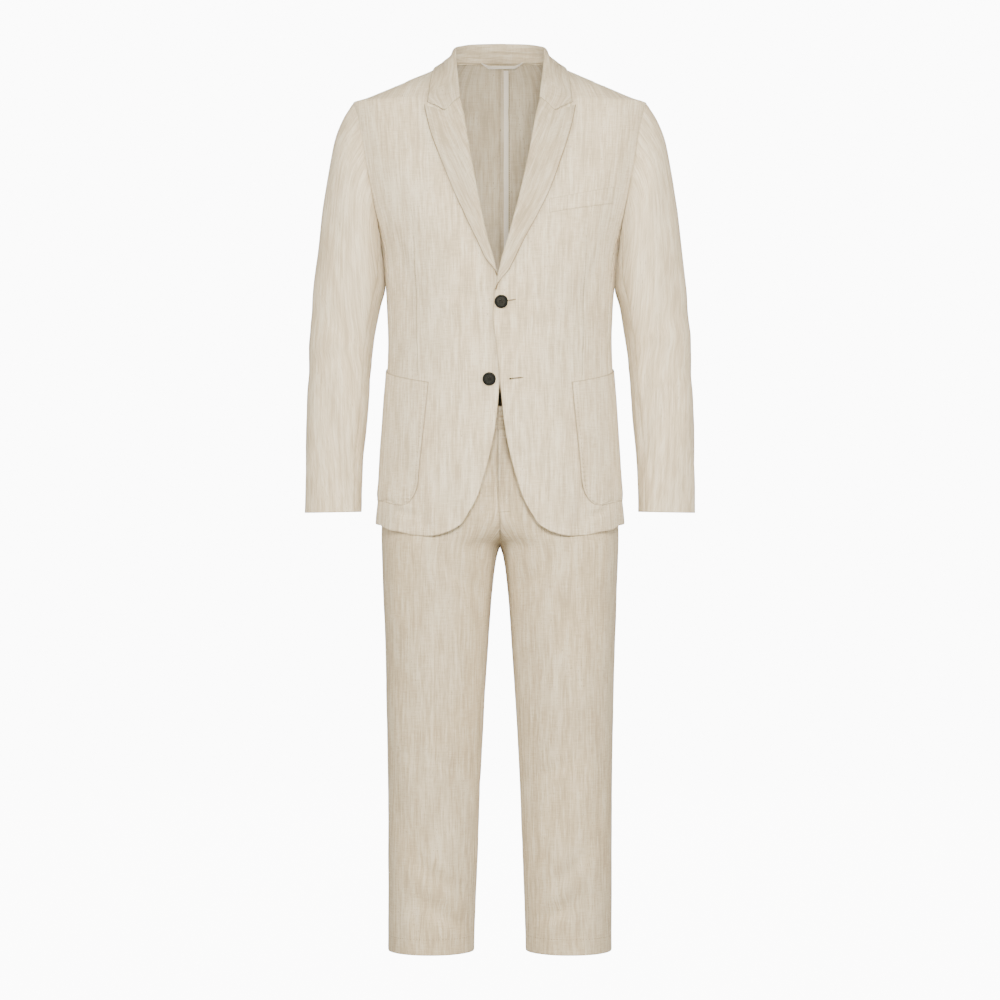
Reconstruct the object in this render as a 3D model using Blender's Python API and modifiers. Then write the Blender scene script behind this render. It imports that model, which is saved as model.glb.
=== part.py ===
"""Two-button linen suit, jacket and cropped trousers, filled out as it is when worn.

Metres, +Z up. The front faces -Y, and +X is the wearer's left. The origin is at the base of the
neck, between the two points where the shoulder seams meet the neckline, where the wearer's
shoulders hold the jacket up. Every cloth piece is a thin wall on one of four forms: the torso, the
collar, the sleeve and the trouser leg. Each form is worked out from a short table of sections.
"""

import math
from collections import namedtuple

import bmesh
import bpy
import numpy as np
from mathutils import Vector

# Cloth sizes
CLOTH = 0.0014
FACING = 0.0012
TAPE = 0.0008
SEAM = 0.0008
ROUND_SEAM = 0.0014
SHOULDER_SEAM = 0.0028
CLEAR = 0.0004

# Jacket lengths
SHOULDER_Z = -0.062
ARMPIT_Z = -0.285
FRONT_CORNER_Z = -0.7105
FRONT_SIDE_HEM_Z = -0.7150
BACK_SIDE_HEM_Z = -0.7100
BACK_HEM_Z = -0.706
NECK_BACK_Z = 0.008
NECK_POINT_Z = 0.0004
GORGE_Z = -0.064

# Armhole, seen from the side
ARMHOLE_FRONT = 0.058
ARMHOLE_BACK = 0.062
ARMHOLE_FULLNESS = 0.15
FRONT_SEAM_TURN = 130.0
BACK_SEAM_TURN = 215.0
BACK_SKIRT_ROWS = 12
BACK_BLADE_ROWS = 6

# How the left front lies over the right one
OVERLAP_LIFT = 0.0037
OVERLAP_INNER_X = 0.012
OVERLAP_OUTER_X = 0.050
UNDER_FRONT_SHIFT = 0.0065

# Buttons
BUTTON_RADIUS = 0.0102
BUTTON_THICKNESS = 0.0036
BUTTON_HOLE_RADIUS = 0.0009
BUTTON_HOLE_SPREAD = 0.0021

Section = namedtuple("Section", "z half front back power")
TORSO = [
    Section(-0.750, 0.1945, 0.128, 0.132, 2.30),
    Section(-0.710, 0.1925, 0.129, 0.131, 2.30),
    Section(-0.645, 0.1865, 0.131, 0.126, 2.30),
    Section(-0.583, 0.1825, 0.131, 0.115, 2.30),
    Section(-0.521, 0.1785, 0.130, 0.104, 2.30),
    Section(-0.490, 0.1757, 0.130, 0.100, 2.30),
    Section(-0.459, 0.1740, 0.131, 0.099, 2.30),
    Section(-0.428, 0.1734, 0.132, 0.101, 2.32),
    Section(-0.366, 0.1757, 0.135, 0.110, 2.36),
    Section(-0.335, 0.1785, 0.137, 0.117, 2.38),
    Section(-0.285, 0.1845, 0.137, 0.124, 2.40),
    Section(-0.210, 0.2090, 0.130, 0.128, 2.35),
    Section(-0.150, 0.2250, 0.117, 0.124, 2.30),
    Section(-0.100, 0.2290, 0.099, 0.114, 2.25),
    Section(-0.062, 0.2275, 0.079, 0.103, 2.20),
    Section(-0.0558, 0.2100, 0.075, 0.100, 2.20),
    Section(-0.0403, 0.1726, 0.066, 0.094, 2.20),
    Section(-0.0248, 0.1354, 0.056, 0.087, 2.15),
    Section(-0.0124, 0.1060, 0.046, 0.080, 2.10),
    Section(0.0000, 0.0785, 0.037, 0.072, 2.10),
    Section(0.0080, 0.0600, 0.031, 0.067, 2.10),
    Section(0.0160, 0.0400, 0.025, 0.061, 2.10),
]

Point = namedtuple("Point", "z x")
# The left front's edge, from the round corner at the hem up to where the lapel starts to roll
FRONT_EDGE = [
    Point(-0.7105, 0.0566),
    Point(-0.6885, 0.0419),
    Point(-0.6502, 0.0274),
    Point(-0.6135, 0.0173),
    Point(-0.5780, 0.0090),
    Point(-0.5400, 0.0030),
    Point(-0.5015, -0.0005),
    Point(-0.4375, -0.0063),
    Point(-0.4135, -0.0097),
    Point(-0.3838, -0.0121),
    Point(-0.3602, -0.0072),
    Point(-0.3157, 0.0035),
    Point(-0.2691, 0.0177),
    Point(-0.1496, 0.0464),
    Point(-0.0861, 0.0580),
    Point(-0.0640, 0.0635),
]
# The hem of the front, from the round corner to the side seam, as a drop below the straight line
Drop = namedtuple("Drop", "share drop")
HEM_DROP = [
    Drop(0.00, 0.0000),
    Drop(0.12, 0.0125),
    Drop(0.27, 0.0185),
    Drop(0.45, 0.0170),
    Drop(0.62, 0.0115),
    Drop(0.80, 0.0075),
    Drop(1.00, 0.0000),
]
# The left lapel's outer edge
LAPEL_EDGE = [
    Point(-0.3600, -0.0036),
    Point(-0.3371, 0.0097),
    Point(-0.3157, 0.0208),
    Point(-0.2887, 0.0338),
    Point(-0.2476, 0.0555),
    Point(-0.2081, 0.0749),
    Point(-0.1643, 0.0909),
    Point(-0.1197, 0.1053),
    Point(-0.0967, 0.1110),
    Point(-0.0735, 0.1155),
]
LAPEL_TIP = Point(-0.0735, 0.1155)
NOTCH = Point(-0.0850, 0.0827)
LEFT_LAPEL_END_Z = -0.3585
RIGHT_LAPEL_END_Z = -0.3380
RIGHT_LAPEL_NARROWING = 0.0045
LAPEL_FULL_WIDTH = 0.024

# Across the lapel: share of the width, sideways step, and height over the front
Roll = namedtuple("Roll", "share step height")
LAPEL_ROLL = [
    Roll(0.00, -0.0010, 0.0006),
    Roll(0.00, -0.0022, 0.0020),
    Roll(0.08, -0.0010, 0.0040),
    Roll(0.22, 0.0, 0.0042),
    Roll(0.39, 0.0, 0.0034),
    Roll(0.60, 0.0, 0.0026),
    Roll(0.80, 0.0, 0.0021),
    Roll(1.00, 0.0, 0.0018),
]

# The collar, from the centre of the back (0) to the gorge (5). The seam is the neckline; the edge
# is where the fall ends, as a height and a place across the front or back of the torso.
Neck = namedtuple("Neck", "w seam_z seam_x fold_x fold_y fold_z edge_z edge_x behind lip radius")
COLLAR = [
    Neck(0.0, 0.0080, 0.0000, 0.0000, 0.0600, 0.0400, -0.0040, 0.0000, True, 0.40, 0.0026),
    Neck(1.0, 0.0062, 0.0480, 0.0430, 0.0435, 0.0365, -0.0060, 0.0620, True, 0.40, 0.0026),
    Neck(1.5, 0.0034, 0.0660, 0.0585, 0.0255, 0.0318, -0.0068, 0.0850, True, 0.39, 0.0025),
    Neck(2.0, 0.0004, 0.0785, 0.0680, 0.0040, 0.0258, -0.0076, 0.0982, False, 0.38, 0.0025),
    Neck(3.0, -0.0200, 0.0752, 0.0662, -0.0360, -0.0090, -0.0440, 0.1073, False, 0.36, 0.0023),
    Neck(4.0, -0.0450, 0.0705, 0.0618, -0.0705, -0.0470, -0.0610, 0.1095, False, 0.36, 0.0020),
    Neck(5.0, -0.0630, 0.0680, 0.0603, -0.0815, -0.0630, -0.0704, 0.1103, False, 0.36, 0.0018),
]
FALL_LIFT = 0.0034
COLLAR_STEPS = 13
STAND_STEPS = 10

# The sleeve: its outer line, its line under the arm, and how far it reaches forward and back
Sleeve = namedtuple("Sleeve", "t top_x top_z under_x under_z front back")
SLEEVE = [
    Sleeve(0.00, 0.2280, -0.0620, 0.1851, -0.2850, -0.0580, 0.0620),
    Sleeve(0.07, 0.2434, -0.0868, 0.1840, -0.2970, -0.0630, 0.0655),
    Sleeve(0.14, 0.2556, -0.1178, 0.1834, -0.3110, -0.0660, 0.0670),
    Sleeve(0.21, 0.2648, -0.1643, 0.1836, -0.3280, -0.0675, 0.0670),
    Sleeve(0.29, 0.2725, -0.2108, 0.1850, -0.3480, -0.0670, 0.0655),
    Sleeve(0.38, 0.2817, -0.2728, 0.1883, -0.3780, -0.0655, 0.0625),
    Sleeve(0.49, 0.2895, -0.3500, 0.1932, -0.4180, -0.0635, 0.0565),
    Sleeve(0.60, 0.2953, -0.4300, 0.1988, -0.4680, -0.0620, 0.0480),
    Sleeve(0.73, 0.2984, -0.5208, 0.2040, -0.5400, -0.0615, 0.0365),
    Sleeve(0.87, 0.3004, -0.6100, 0.2098, -0.6170, -0.0600, 0.0250),
    Sleeve(1.00, 0.3010, -0.6920, 0.2130, -0.6900, -0.0580, 0.0170),
]
SLEEVE_POWER = 2.12
SLEEVE_RADIUS = 0.050
CAP_BLEND = 0.21
FRONT_SLEEVE_TURN = 140.0
BACK_SLEEVE_TURN = 238.0

# One trouser leg: its outer side, its inner side (below zero above the crotch, where the two legs
# run together), and how far it reaches forward and back
Leg = namedtuple("Leg", "z out inner front back")
LEG = [
    Leg(-1.4200, 0.1729, 0.0405, 0.070, 0.076),
    Leg(-1.3655, 0.1729, 0.0395, 0.071, 0.077),
    Leg(-1.2338, 0.1731, 0.0349, 0.074, 0.080),
    Leg(-1.1098, 0.1736, 0.0302, 0.079, 0.085),
    Leg(-0.9858, 0.1760, 0.0240, 0.088, 0.092),
    Leg(-0.8928, 0.1778, 0.0178, 0.095, 0.099),
    Leg(-0.8308, 0.1805, 0.0132, 0.100, 0.106),
    Leg(-0.7998, 0.1816, 0.0101, 0.103, 0.110),
    Leg(-0.7688, 0.1826, 0.0058, 0.106, 0.114),
    Leg(-0.7475, 0.1832, 0.0006, 0.108, 0.116),
    Leg(-0.7270, 0.1835, -0.0330, 0.110, 0.118),
    Leg(-0.7000, 0.1825, -0.0860, 0.111, 0.117),
    Leg(-0.6500, 0.1775, -0.1400, 0.110, 0.110),
    Leg(-0.6000, 0.1700, -0.1620, 0.106, 0.099),
    Leg(-0.5650, 0.1640, -0.1640, 0.102, 0.090),
    Leg(-0.5270, 0.1600, -0.1600, 0.098, 0.084),
]
LEG_POWER = 2.15
LEG_HEM_Z = -1.3722
WAIST_Z = -0.5330
BAND_Z = -0.5680
CROTCH_Z = -0.7475
FLY_X = -0.0032
FLY_END_Z = -0.6860
FLY_SHIELD = (-0.030, 0.016)
FLY_CLEAR = 0.0020

# Patch pocket on the torso
POCKET_TOP_FRONT_Z = -0.4970
POCKET_TOP_BACK_Z = -0.4690
POCKET_BOTTOM_Z = -0.6840
POCKET_FRONT_TOP_X = 0.1132
POCKET_FRONT_BOTTOM_X = 0.1270
POCKET_BACK_Y = 0.030
POCKET_ROUND = 0.045
POCKET_CLEAR = 0.0010

# Breast welt on the left front: inner end, outer end, each with its foot and its top
WELT_INNER = (0.0742, -0.2428, -0.2213)
WELT_OUTER = (0.1730, -0.2244, -0.1992)

# Hanger loop and the tape that binds the seam down the inside of the back
LOOP_CENTRE_X = 0.003
LOOP_HALF = 0.032
LOOP_TURN = 0.010
LOOP_WIDTH = 0.0044
LOOP_TOP_Z = 0.0048
LOOP_RISE = 0.0030
LOOP_HANG = 0.0042
LOOP_END = 0.0016
TAPE_X = (0.0060, 0.0135)
TAPE_TOP_Z = 0.0002
TAPE_CLEAR = 0.0008

# Soft folds that are large enough to change the outline or catch the light. A fold is a trough
# where its depth is above zero: place, direction from level, half length, half width, depth.
Fold = namedtuple("Fold", "x z turn length width depth")
TORSO_FOLDS = [
    Fold(0.128, -0.735, 85.0, 0.060, 0.020, 0.0040),
    Fold(0.165, -0.735, 95.0, 0.050, 0.016, -0.0030),
    Fold(-0.130, -0.735, 95.0, 0.060, 0.020, 0.0040),
    Fold(-0.166, -0.735, 85.0, 0.050, 0.016, -0.0030),
    Fold(0.060, -0.420, 25.0, 0.060, 0.020, 0.0020),
    Fold(-0.064, -0.430, 155.0, 0.065, 0.022, 0.0022),
    Fold(0.150, -0.330, 60.0, 0.070, 0.020, 0.0025),
    Fold(-0.148, -0.335, 118.0, 0.075, 0.020, 0.0026),
]
SLEEVE_FOLDS = [
    Fold(0.250, -0.400, 20.0, 0.045, 0.018, 0.0030),
    Fold(0.262, -0.470, 160.0, 0.050, 0.018, 0.0028),
    Fold(0.240, -0.560, 65.0, 0.060, 0.017, 0.0024),
    Fold(0.228, -0.630, 75.0, 0.050, 0.014, 0.0026),
    Fold(0.275, -0.300, 80.0, 0.070, 0.020, 0.0022),
]
LEG_FOLDS = [
    Fold(0.100, -1.300, 15.0, 0.050, 0.022, 0.0036),
    Fold(0.128, -1.215, 70.0, 0.080, 0.020, 0.0030),
    Fold(0.070, -1.120, 110.0, 0.090, 0.022, 0.0030),
    Fold(0.110, -1.020, 80.0, 0.110, 0.024, 0.0028),
    Fold(0.075, -0.900, 65.0, 0.090, 0.024, 0.0034),
    Fold(0.045, -0.800, 50.0, 0.070, 0.020, 0.0040),
    Fold(0.140, -0.860, 95.0, 0.120, 0.026, 0.0026),
    Fold(0.060, -1.330, 85.0, 0.060, 0.016, 0.0030),
]


class Track:
    """A smooth curve through pairs of numbers, which never overshoots them."""

    def __init__(self, keys, values):
        order = np.argsort(keys)
        self.keys = np.array(keys, float)[order]
        self.values = np.array(values, float)[order]
        step = np.diff(self.keys)
        rise = np.diff(self.values) / step
        slope = np.zeros(len(self.keys))
        slope[0], slope[-1] = rise[0], rise[-1]
        for i in range(1, len(slope) - 1):
            if rise[i - 1] * rise[i] > 0:
                near, far = 2 * step[i] + step[i - 1], step[i] + 2 * step[i - 1]
                slope[i] = (near + far) / (near / rise[i - 1] + far / rise[i])
        self.slope = slope

    def __call__(self, key):
        key = min(max(key, self.keys[0]), self.keys[-1])
        i = min(int(np.searchsorted(self.keys, key, "right")) - 1, len(self.keys) - 2)
        step = self.keys[i + 1] - self.keys[i]
        t = (key - self.keys[i]) / step
        start, end = self.values[i], self.values[i + 1]
        lead, trail = self.slope[i] * step, self.slope[i + 1] * step
        return (
            start * (1 + 2 * t) * (1 - t) ** 2
            + lead * t * (1 - t) ** 2
            + end * t * t * (3 - 2 * t)
            - trail * t * t * (1 - t)
        )


def tracks(table, key):
    """One track for each of a table's other columns, by name."""
    keys = [getattr(row, key) for row in table]
    return {
        name: Track(keys, [float(getattr(row, name)) for row in table])
        for name in table[0]._fields
        if name != key
    }


torso_track = tracks(TORSO, "z")
edge_track = tracks(FRONT_EDGE, "z")["x"]
lapel_track = tracks(LAPEL_EDGE, "z")["x"]
collar_track = tracks(COLLAR, "w")
sleeve_track = tracks(SLEEVE, "t")
leg_track = tracks(LEG, "z")
hem_drop = tracks(HEM_DROP, "share")["drop"]


def mix(a, b, share):
    return a + (b - a) * share


def ease(share):
    """A smooth step from 0 to 1."""
    share = min(max(share, 0.0), 1.0)
    return share * share * (3 - 2 * share)


def power(value, exponent):
    """A power that keeps the sign."""
    return math.copysign(abs(value) ** exponent, value)


def fold_depth(folds, x, z):
    """How far the cloth is pressed in at a place seen from the front."""
    depth = 0.0
    for fold in folds:
        turn = math.radians(fold.turn)
        along = (x - fold.x) * math.cos(turn) + (z - fold.z) * math.sin(turn)
        aside = (z - fold.z) * math.cos(turn) - (x - fold.x) * math.sin(turn)
        depth += fold.depth * math.exp(-((along / fold.length) ** 2) - (aside / fold.width) ** 2)
    return depth


# The torso form


def torso(z, turn, lift=0.0):
    """A point of the torso: turn is 90 degrees at the front, 0 at the left side, -90 at the back."""
    half, front, back, n = (torso_track[name](z) for name in ("half", "front", "back", "power"))
    c, s = math.cos(turn), math.sin(turn)
    depth = front if s >= 0 else back
    x, y = half * power(c, 2 / n), -depth * power(s, 2 / n)
    step = 0.002
    grow = (torso_track["half"](z + step) - torso_track["half"](z - step)) / (2 * step)
    name = "front" if s >= 0 else "back"
    swell = (torso_track[name](z + step) - torso_track[name](z - step)) / (2 * step)
    across, along = abs(x / half), abs(y / depth)
    normal = Vector(
        (
            math.copysign(across ** (n - 1), x) / half,
            math.copysign(along ** (n - 1), y) / depth,
            -(across**n) * grow / half - (along**n) * swell / depth,
        )
    ).normalized()
    if s > 0:
        lift -= fold_depth(TORSO_FOLDS, x, z) * ease(s * 4)
    return Vector((x, y, z)) + normal * lift


def turn_at(z, x, behind=False):
    """The turn at which the torso is x from the centre plane at that height."""
    half, n = torso_track["half"](z), torso_track["power"](z)
    turn = math.acos(min(max(power(x / half, n / 2), -1.0), 1.0))
    return -turn if behind else turn


def turn_at_depth(z, y):
    """The turn at which the torso's left side reaches that y."""
    depth = torso_track["front" if y < 0 else "back"](z)
    turn = math.asin(min(abs(y / depth) ** (torso_track["power"](z) / 2), 1.0))
    return turn if y < 0 else -turn


def armhole(turn_deg):
    """Height and y of the armhole: 0 degrees at the shoulder, 90 at the front, 180 under the arm."""
    turn = math.radians(turn_deg)
    middle, tall = (SHOULDER_Z + ARMPIT_Z) / 2, (SHOULDER_Z - ARMPIT_Z) / 2
    wide = ARMHOLE_FRONT if math.sin(turn) > 0 else ARMHOLE_BACK
    y = -wide * math.sin(turn) * (1 - ARMHOLE_FULLNESS * math.cos(turn))
    return middle + tall * math.cos(turn), y


def armhole_point(turn_deg):
    z, y = armhole(turn_deg)
    if abs(y) < SEAM / 2:
        y = math.copysign(SEAM / 2, y)
    return z, turn_at_depth(z, y)


def overlap_lift(x, z):
    """How far the left front stands off the form where it lies over the right one."""
    near = ease((OVERLAP_OUTER_X - x) / (OVERLAP_OUTER_X - OVERLAP_INNER_X))
    return OVERLAP_LIFT * near * ease((-0.22 - z) / 0.07)


def under_shift(z):
    """How far out the right lapel is pushed by the front that lies over it."""
    return UNDER_FRONT_SHIFT * math.exp(-(((z + 0.30) / 0.11) ** 2))


def lapel_x(z, side):
    """The lapel's outer edge. The right one is a little narrower at the chest."""
    narrowing = RIGHT_LAPEL_NARROWING * math.exp(-(((z + 0.205) / 0.06) ** 2))
    return lapel_track(z) - (narrowing if side < 0 else 0.0)


def front_x(z, side):
    return edge_track(z) + (under_shift(z) if side < 0 else 0.0)


def front_lift(x, z, side):
    return overlap_lift(x, z) if side > 0 else 0.0


def on_front(x, z, side, lift):
    """A point on one front, moved out from the form. The sides mirror each other."""
    point = torso(z, turn_at(z, x), lift + front_lift(x, z, side))
    return Vector((point.x * side, point.y, point.z))


# Making walls from grids of points


def material(name, colour, roughness):
    made = bpy.data.materials.new(name)
    made.use_nodes = True
    shader = made.node_tree.nodes["Principled BSDF"]
    shader.inputs["Base Color"].default_value = (*colour, 1.0)
    shader.inputs["Roughness"].default_value = roughness
    shader.inputs["Metallic"].default_value = 0.0
    made.diffuse_color = (*colour, 1.0)
    return made


def add_object(name, mesh, finish, collection):
    made = bpy.data.objects.new(name, mesh)
    mesh.materials.append(finish)
    collection.objects.link(made)
    return made


def wall(name, grid, thickness, finish, collection, outward):
    """A cloth wall: the grid is its outer surface, and the thickness goes inward.

    outward is a point's outward direction, asked at the middle of the grid.
    """
    rows, columns = len(grid), len(grid[0])
    mesh = bpy.data.meshes.new(name)
    bm = bmesh.new()
    bmesh.ops.create_grid(bm, x_segments=columns - 1, y_segments=rows - 1, size=0.5)
    bm.verts.ensure_lookup_table()
    for j, row in enumerate(grid):
        for i, point in enumerate(row):
            bm.verts[j * columns + i].co = point
    bm.normal_update()
    middle = grid[rows // 2][columns // 2]
    direction = outward(middle)
    total = sum((face.normal * face.calc_area() for face in bm.faces), Vector())
    near = min(bm.faces, key=lambda face: (face.calc_center_median() - middle).length)
    if near.normal.dot(direction) < 0 and total.length > 0:
        bmesh.ops.reverse_faces(bm, faces=bm.faces)
    bm.to_mesh(mesh)
    bm.free()
    made = add_object(name, mesh, finish, collection)
    solid = made.modifiers.new("wall", "SOLIDIFY")
    solid.thickness = thickness
    solid.offset = -1.0
    solid.use_even_offset = False
    mesh.shade_smooth()
    mesh.set_sharp_from_angle(angle=math.radians(50))
    return made


def away_from(centre):
    """Outward means away from an upright line or a point."""
    return lambda point: Vector((point.x - centre[0], point.y - centre[1], 0.0))


def shares(count):
    return [i / (count - 1) for i in range(count)]


# Jacket panels


def front_panel(side, finish, collection):
    """One front, from its free edge and roll line to the side seam, armhole and shoulder."""
    skirt, chest = 13, 6
    start_z, _ = armhole(FRONT_SEAM_TURN)
    pairs = []
    for share in shares(skirt):
        z = mix(FRONT_CORNER_Z, start_z, share)
        side_z = mix(FRONT_SIDE_HEM_Z, start_z, share)
        drop = (1 - share) ** 3
        side_turn = turn_at_depth(side_z, armhole(FRONT_SEAM_TURN)[1] - SEAM / 2)
        pairs.append((z, turn_at(z, front_x(z, side)), side_z, side_turn, drop))
    for share in shares(chest)[1:]:
        z = mix(start_z, GORGE_Z, share)
        arm_z, arm_turn = armhole_point(mix(FRONT_SEAM_TURN, 42.0, share))
        pairs.append((z, turn_at(z, front_x(z, side)), arm_z, arm_turn, 0.0))
    for w, arm_deg in ((4.5, 34.0), (3.6, 24.0), (2.8, 14.0), (2.3, 6.5), (2.08, 2.5)):
        z = collar_track["seam_z"](w)
        pairs.append((z, turn_at(z, collar_track["seam_x"](w)), *armhole_point(arm_deg), 0.0))
    shoulder_z, _ = armhole(0.0)
    ends = [turn_at_depth(z, -SHOULDER_SEAM / 2) for z in (NECK_POINT_Z, shoulder_z)]
    pairs.append((NECK_POINT_Z, ends[0], shoulder_z, ends[1], 0.0))
    grid = []
    for z0, turn0, z1, turn1, drop in pairs:
        row = []
        for share in shares(11):
            z = mix(z0, z1, share) - hem_drop(share) * drop
            turn = mix(turn0, turn1, share)
            bare = torso(z, turn)
            point = torso(z, turn, front_lift(bare.x, z, side))
            row.append(Vector((point.x * side, point.y, point.z)))
        grid.append(row)
    name = "jacket_front_left" if side > 0 else "jacket_front_right"
    return wall(name, grid, CLOTH, finish, collection, away_from((0.0, 0.0)))


def side_panel(side, finish, collection):
    """The panel under the arm, between the front and the back."""
    front_z, front_y = armhole(FRONT_SEAM_TURN)
    back_z, back_y = armhole(BACK_SEAM_TURN)
    grid = []
    for share in shares(14):
        row = []
        for across in shares(5):
            hem = mix(FRONT_SIDE_HEM_Z, BACK_SIDE_HEM_Z, across)
            top_z, top_y = armhole(mix(FRONT_SEAM_TURN, BACK_SEAM_TURN, across))
            y = mix(mix(front_y + SEAM / 2, back_y - SEAM / 2, across), top_y, ease(share))
            y = min(max(y, front_y + SEAM / 2), back_y - SEAM / 2)
            z = mix(hem, top_z, share)
            point = torso(z, turn_at_depth(z, y))
            row.append(Vector((point.x * side, point.y, point.z)))
        grid.append(row)
    name = "jacket_side_left" if side > 0 else "jacket_side_right"
    return wall(name, grid, CLOTH, finish, collection, away_from((0.0, 0.0)))


def back_heights():
    """The rows of the back along its centre seam, from the hem to the neckline."""
    start_z, _ = armhole(BACK_SEAM_TURN)
    skirt = [mix(BACK_HEM_Z, start_z, share) for share in shares(BACK_SKIRT_ROWS)]
    return skirt + [mix(start_z, NECK_BACK_Z, share) for share in shares(BACK_BLADE_ROWS)[1:]]


def back_panel(side, finish, collection):
    """Half of the back, from the centre seam and neckline to the side seam, armhole and shoulder."""
    start_z, start_y = armhole(BACK_SEAM_TURN)
    pairs = []
    for row, z in enumerate(back_heights()):
        if row < BACK_SKIRT_ROWS:
            side_z = mix(BACK_SIDE_HEM_Z, start_z, row / (BACK_SKIRT_ROWS - 1))
            end = (side_z, turn_at_depth(side_z, start_y + SEAM / 2))
        else:
            share = (row + 1 - BACK_SKIRT_ROWS) / (BACK_BLADE_ROWS - 1)
            end = armhole_point(mix(BACK_SEAM_TURN, 325.0, share))
        pairs.append((z, turn_at(z, SEAM / 2, True), *end))
    for w, arm_deg in ((0.6, 333.0), (1.1, 341.0), (1.5, 349.0), (1.85, 356.0)):
        z, x = collar_track["seam_z"](w), collar_track["seam_x"](w)
        pairs.append((z, turn_at(z, x, True), *armhole_point(arm_deg)))
    shoulder_z, _ = armhole(0.0)
    ends = [turn_at_depth(z, SHOULDER_SEAM / 2) for z in (NECK_POINT_Z, shoulder_z)]
    pairs.append((NECK_POINT_Z, ends[0], shoulder_z, ends[1]))
    grid = []
    for z0, turn0, z1, turn1 in pairs:
        row = []
        for share in shares(9):
            point = torso(mix(z0, z1, share), mix(turn0, turn1, share))
            row.append(Vector((point.x * side, point.y, point.z)))
        grid.append(row)
    name = "jacket_back_left" if side > 0 else "jacket_back_right"
    return wall(name, grid, CLOTH, finish, collection, away_from((0.0, 0.0)))


def lapel(side, finish, collection):
    """The turned-back lapel: a rolled edge at the front's roll line, then a wall on the front."""
    notch_share = LAPEL_ROLL[4].share
    grid = []
    end_z = LEFT_LAPEL_END_Z if side > 0 else RIGHT_LAPEL_END_Z
    for share in shares(15):
        z_in = mix(GORGE_Z - SEAM - CLEAR, end_z, share)
        z_out = mix(LAPEL_TIP.z - CLEAR, end_z, share)
        x_in, x_out = front_x(z_in, side) - 0.0005, lapel_x(z_out, side)
        full = min((x_out - x_in) / LAPEL_FULL_WIDTH, 1.0)
        straight = mix(GORGE_Z, LAPEL_TIP.z, notch_share)
        dip = (NOTCH.z - straight) * (1 - share) ** 4 if share < 1 else 0.0
        row = []
        for roll in LAPEL_ROLL:
            tent = min(roll.share / notch_share, (1 - roll.share) / (1 - notch_share))
            x = mix(x_in, x_out, roll.share) + roll.step * full
            z = mix(z_in, z_out, roll.share) + dip * tent
            height = mix(0.0018 if roll.share else roll.height, roll.height, full)
            row.append(on_front(x, z, side, height))
        grid.append(row)
    name = "lapel_left" if side > 0 else "lapel_right"
    return wall(name, grid, FACING, finish, collection, lambda point: Vector((0.0, -1.0, 0.0)))


# The collar


def collar_section(w, side):
    """The collar's key points at one place round the neck: seam, fold, middle and edge of the fall."""
    value = {name: track(w) for name, track in collar_track.items()}
    behind = w < 2.0
    seam = torso(value["seam_z"], turn_at(value["seam_z"], value["seam_x"], behind))
    fold = Vector((value["fold_x"], value["fold_y"], value["fold_z"]))
    edge_turn = turn_at(value["edge_z"], value["edge_x"], behind)
    edge = torso(value["edge_z"], edge_turn, FALL_LIFT)
    middle = (fold + edge) / 2
    if w > 1.5:
        share = ease((w - 1.5) / 1.5)
        z = mix(middle.z, NOTCH.z + ROUND_SEAM, ease(w - 4.0))
        x = mix(middle.x, NOTCH.x, ease(w - 4.0))
        laid = torso(z, turn_at(z, x), FALL_LIFT + 0.0006)
        middle = middle.lerp(laid, share)
    points = [seam, fold, middle, edge]
    return [Vector((p.x * side, p.y, p.z)) for p in points], value["lip"], value["radius"]


def collar_rows(steps):
    """Places round the neck from the right side to the left, as (w, side)."""
    last = COLLAR[-1].w
    return [(last * abs(i) / COLLAR_STEPS, 1 if i >= 0 else -1) for i in range(-steps, steps + 1)]


def fold_frame(w, side):
    """At one place round the neck: which way the fold points, and which way is outward."""
    step = 0.05
    (seam, fold, middle, _), lip, radius = collar_section(w, side)
    ahead = collar_section(min(w + step, 5.0), side)[0][1]
    behind = collar_section(max(w - step, 0.0), side)[0][1]
    if w < step:
        behind = Vector((-ahead.x, ahead.y, ahead.z))
    along = (ahead - behind).normalized()
    crest = fold - (seam + middle) / 2
    crest = (crest - along * crest.dot(along)).normalized()
    outward = crest.cross(along) * side
    return crest, outward, lip, radius


def collar(finish, collection):
    """The collar from its inner seam up over the fold and down to its outer edge."""
    grid = []
    for w, side in collar_rows(COLLAR_STEPS):
        (seam, fold, middle, edge), _, _ = collar_section(w, side)
        crest, outward, lip, radius = fold_frame(w, side)
        centre = fold - crest * radius
        inner, outer = centre - outward * radius, centre + outward * radius
        start = inner.lerp(seam, lip)
        shoulder = outer.lerp(middle, 0.45) + outward * 0.0012
        low = middle.lerp(edge, 0.5) + outward * 0.0006
        grid.append([start, inner, fold, outer, shoulder, middle, low, edge])
    return wall("collar", grid, FACING, finish, collection, lambda point: Vector((0.0, 1.0, 0.5)))


def collar_stand(finish, collection):
    """The band between the neckline and the collar's inner seam."""
    grid = []
    for w, side in collar_rows(STAND_STEPS):
        (seam, fold, _, _), _, _ = collar_section(w, side)
        crest, outward, lip, radius = fold_frame(w, side)
        inner = fold - crest * radius - outward * radius
        top = inner.lerp(seam, lip)
        rise = (top - seam).normalized()
        foot = seam + rise * (SEAM + CLEAR) - outward * CLEAR
        head = top - rise * SEAM
        grid.append([foot, foot.lerp(head, 0.5), head])
    return wall("collar_stand", grid, FACING, finish, collection, lambda point: Vector((0.0, -1.0, 0.0)))


# Sleeves


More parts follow.
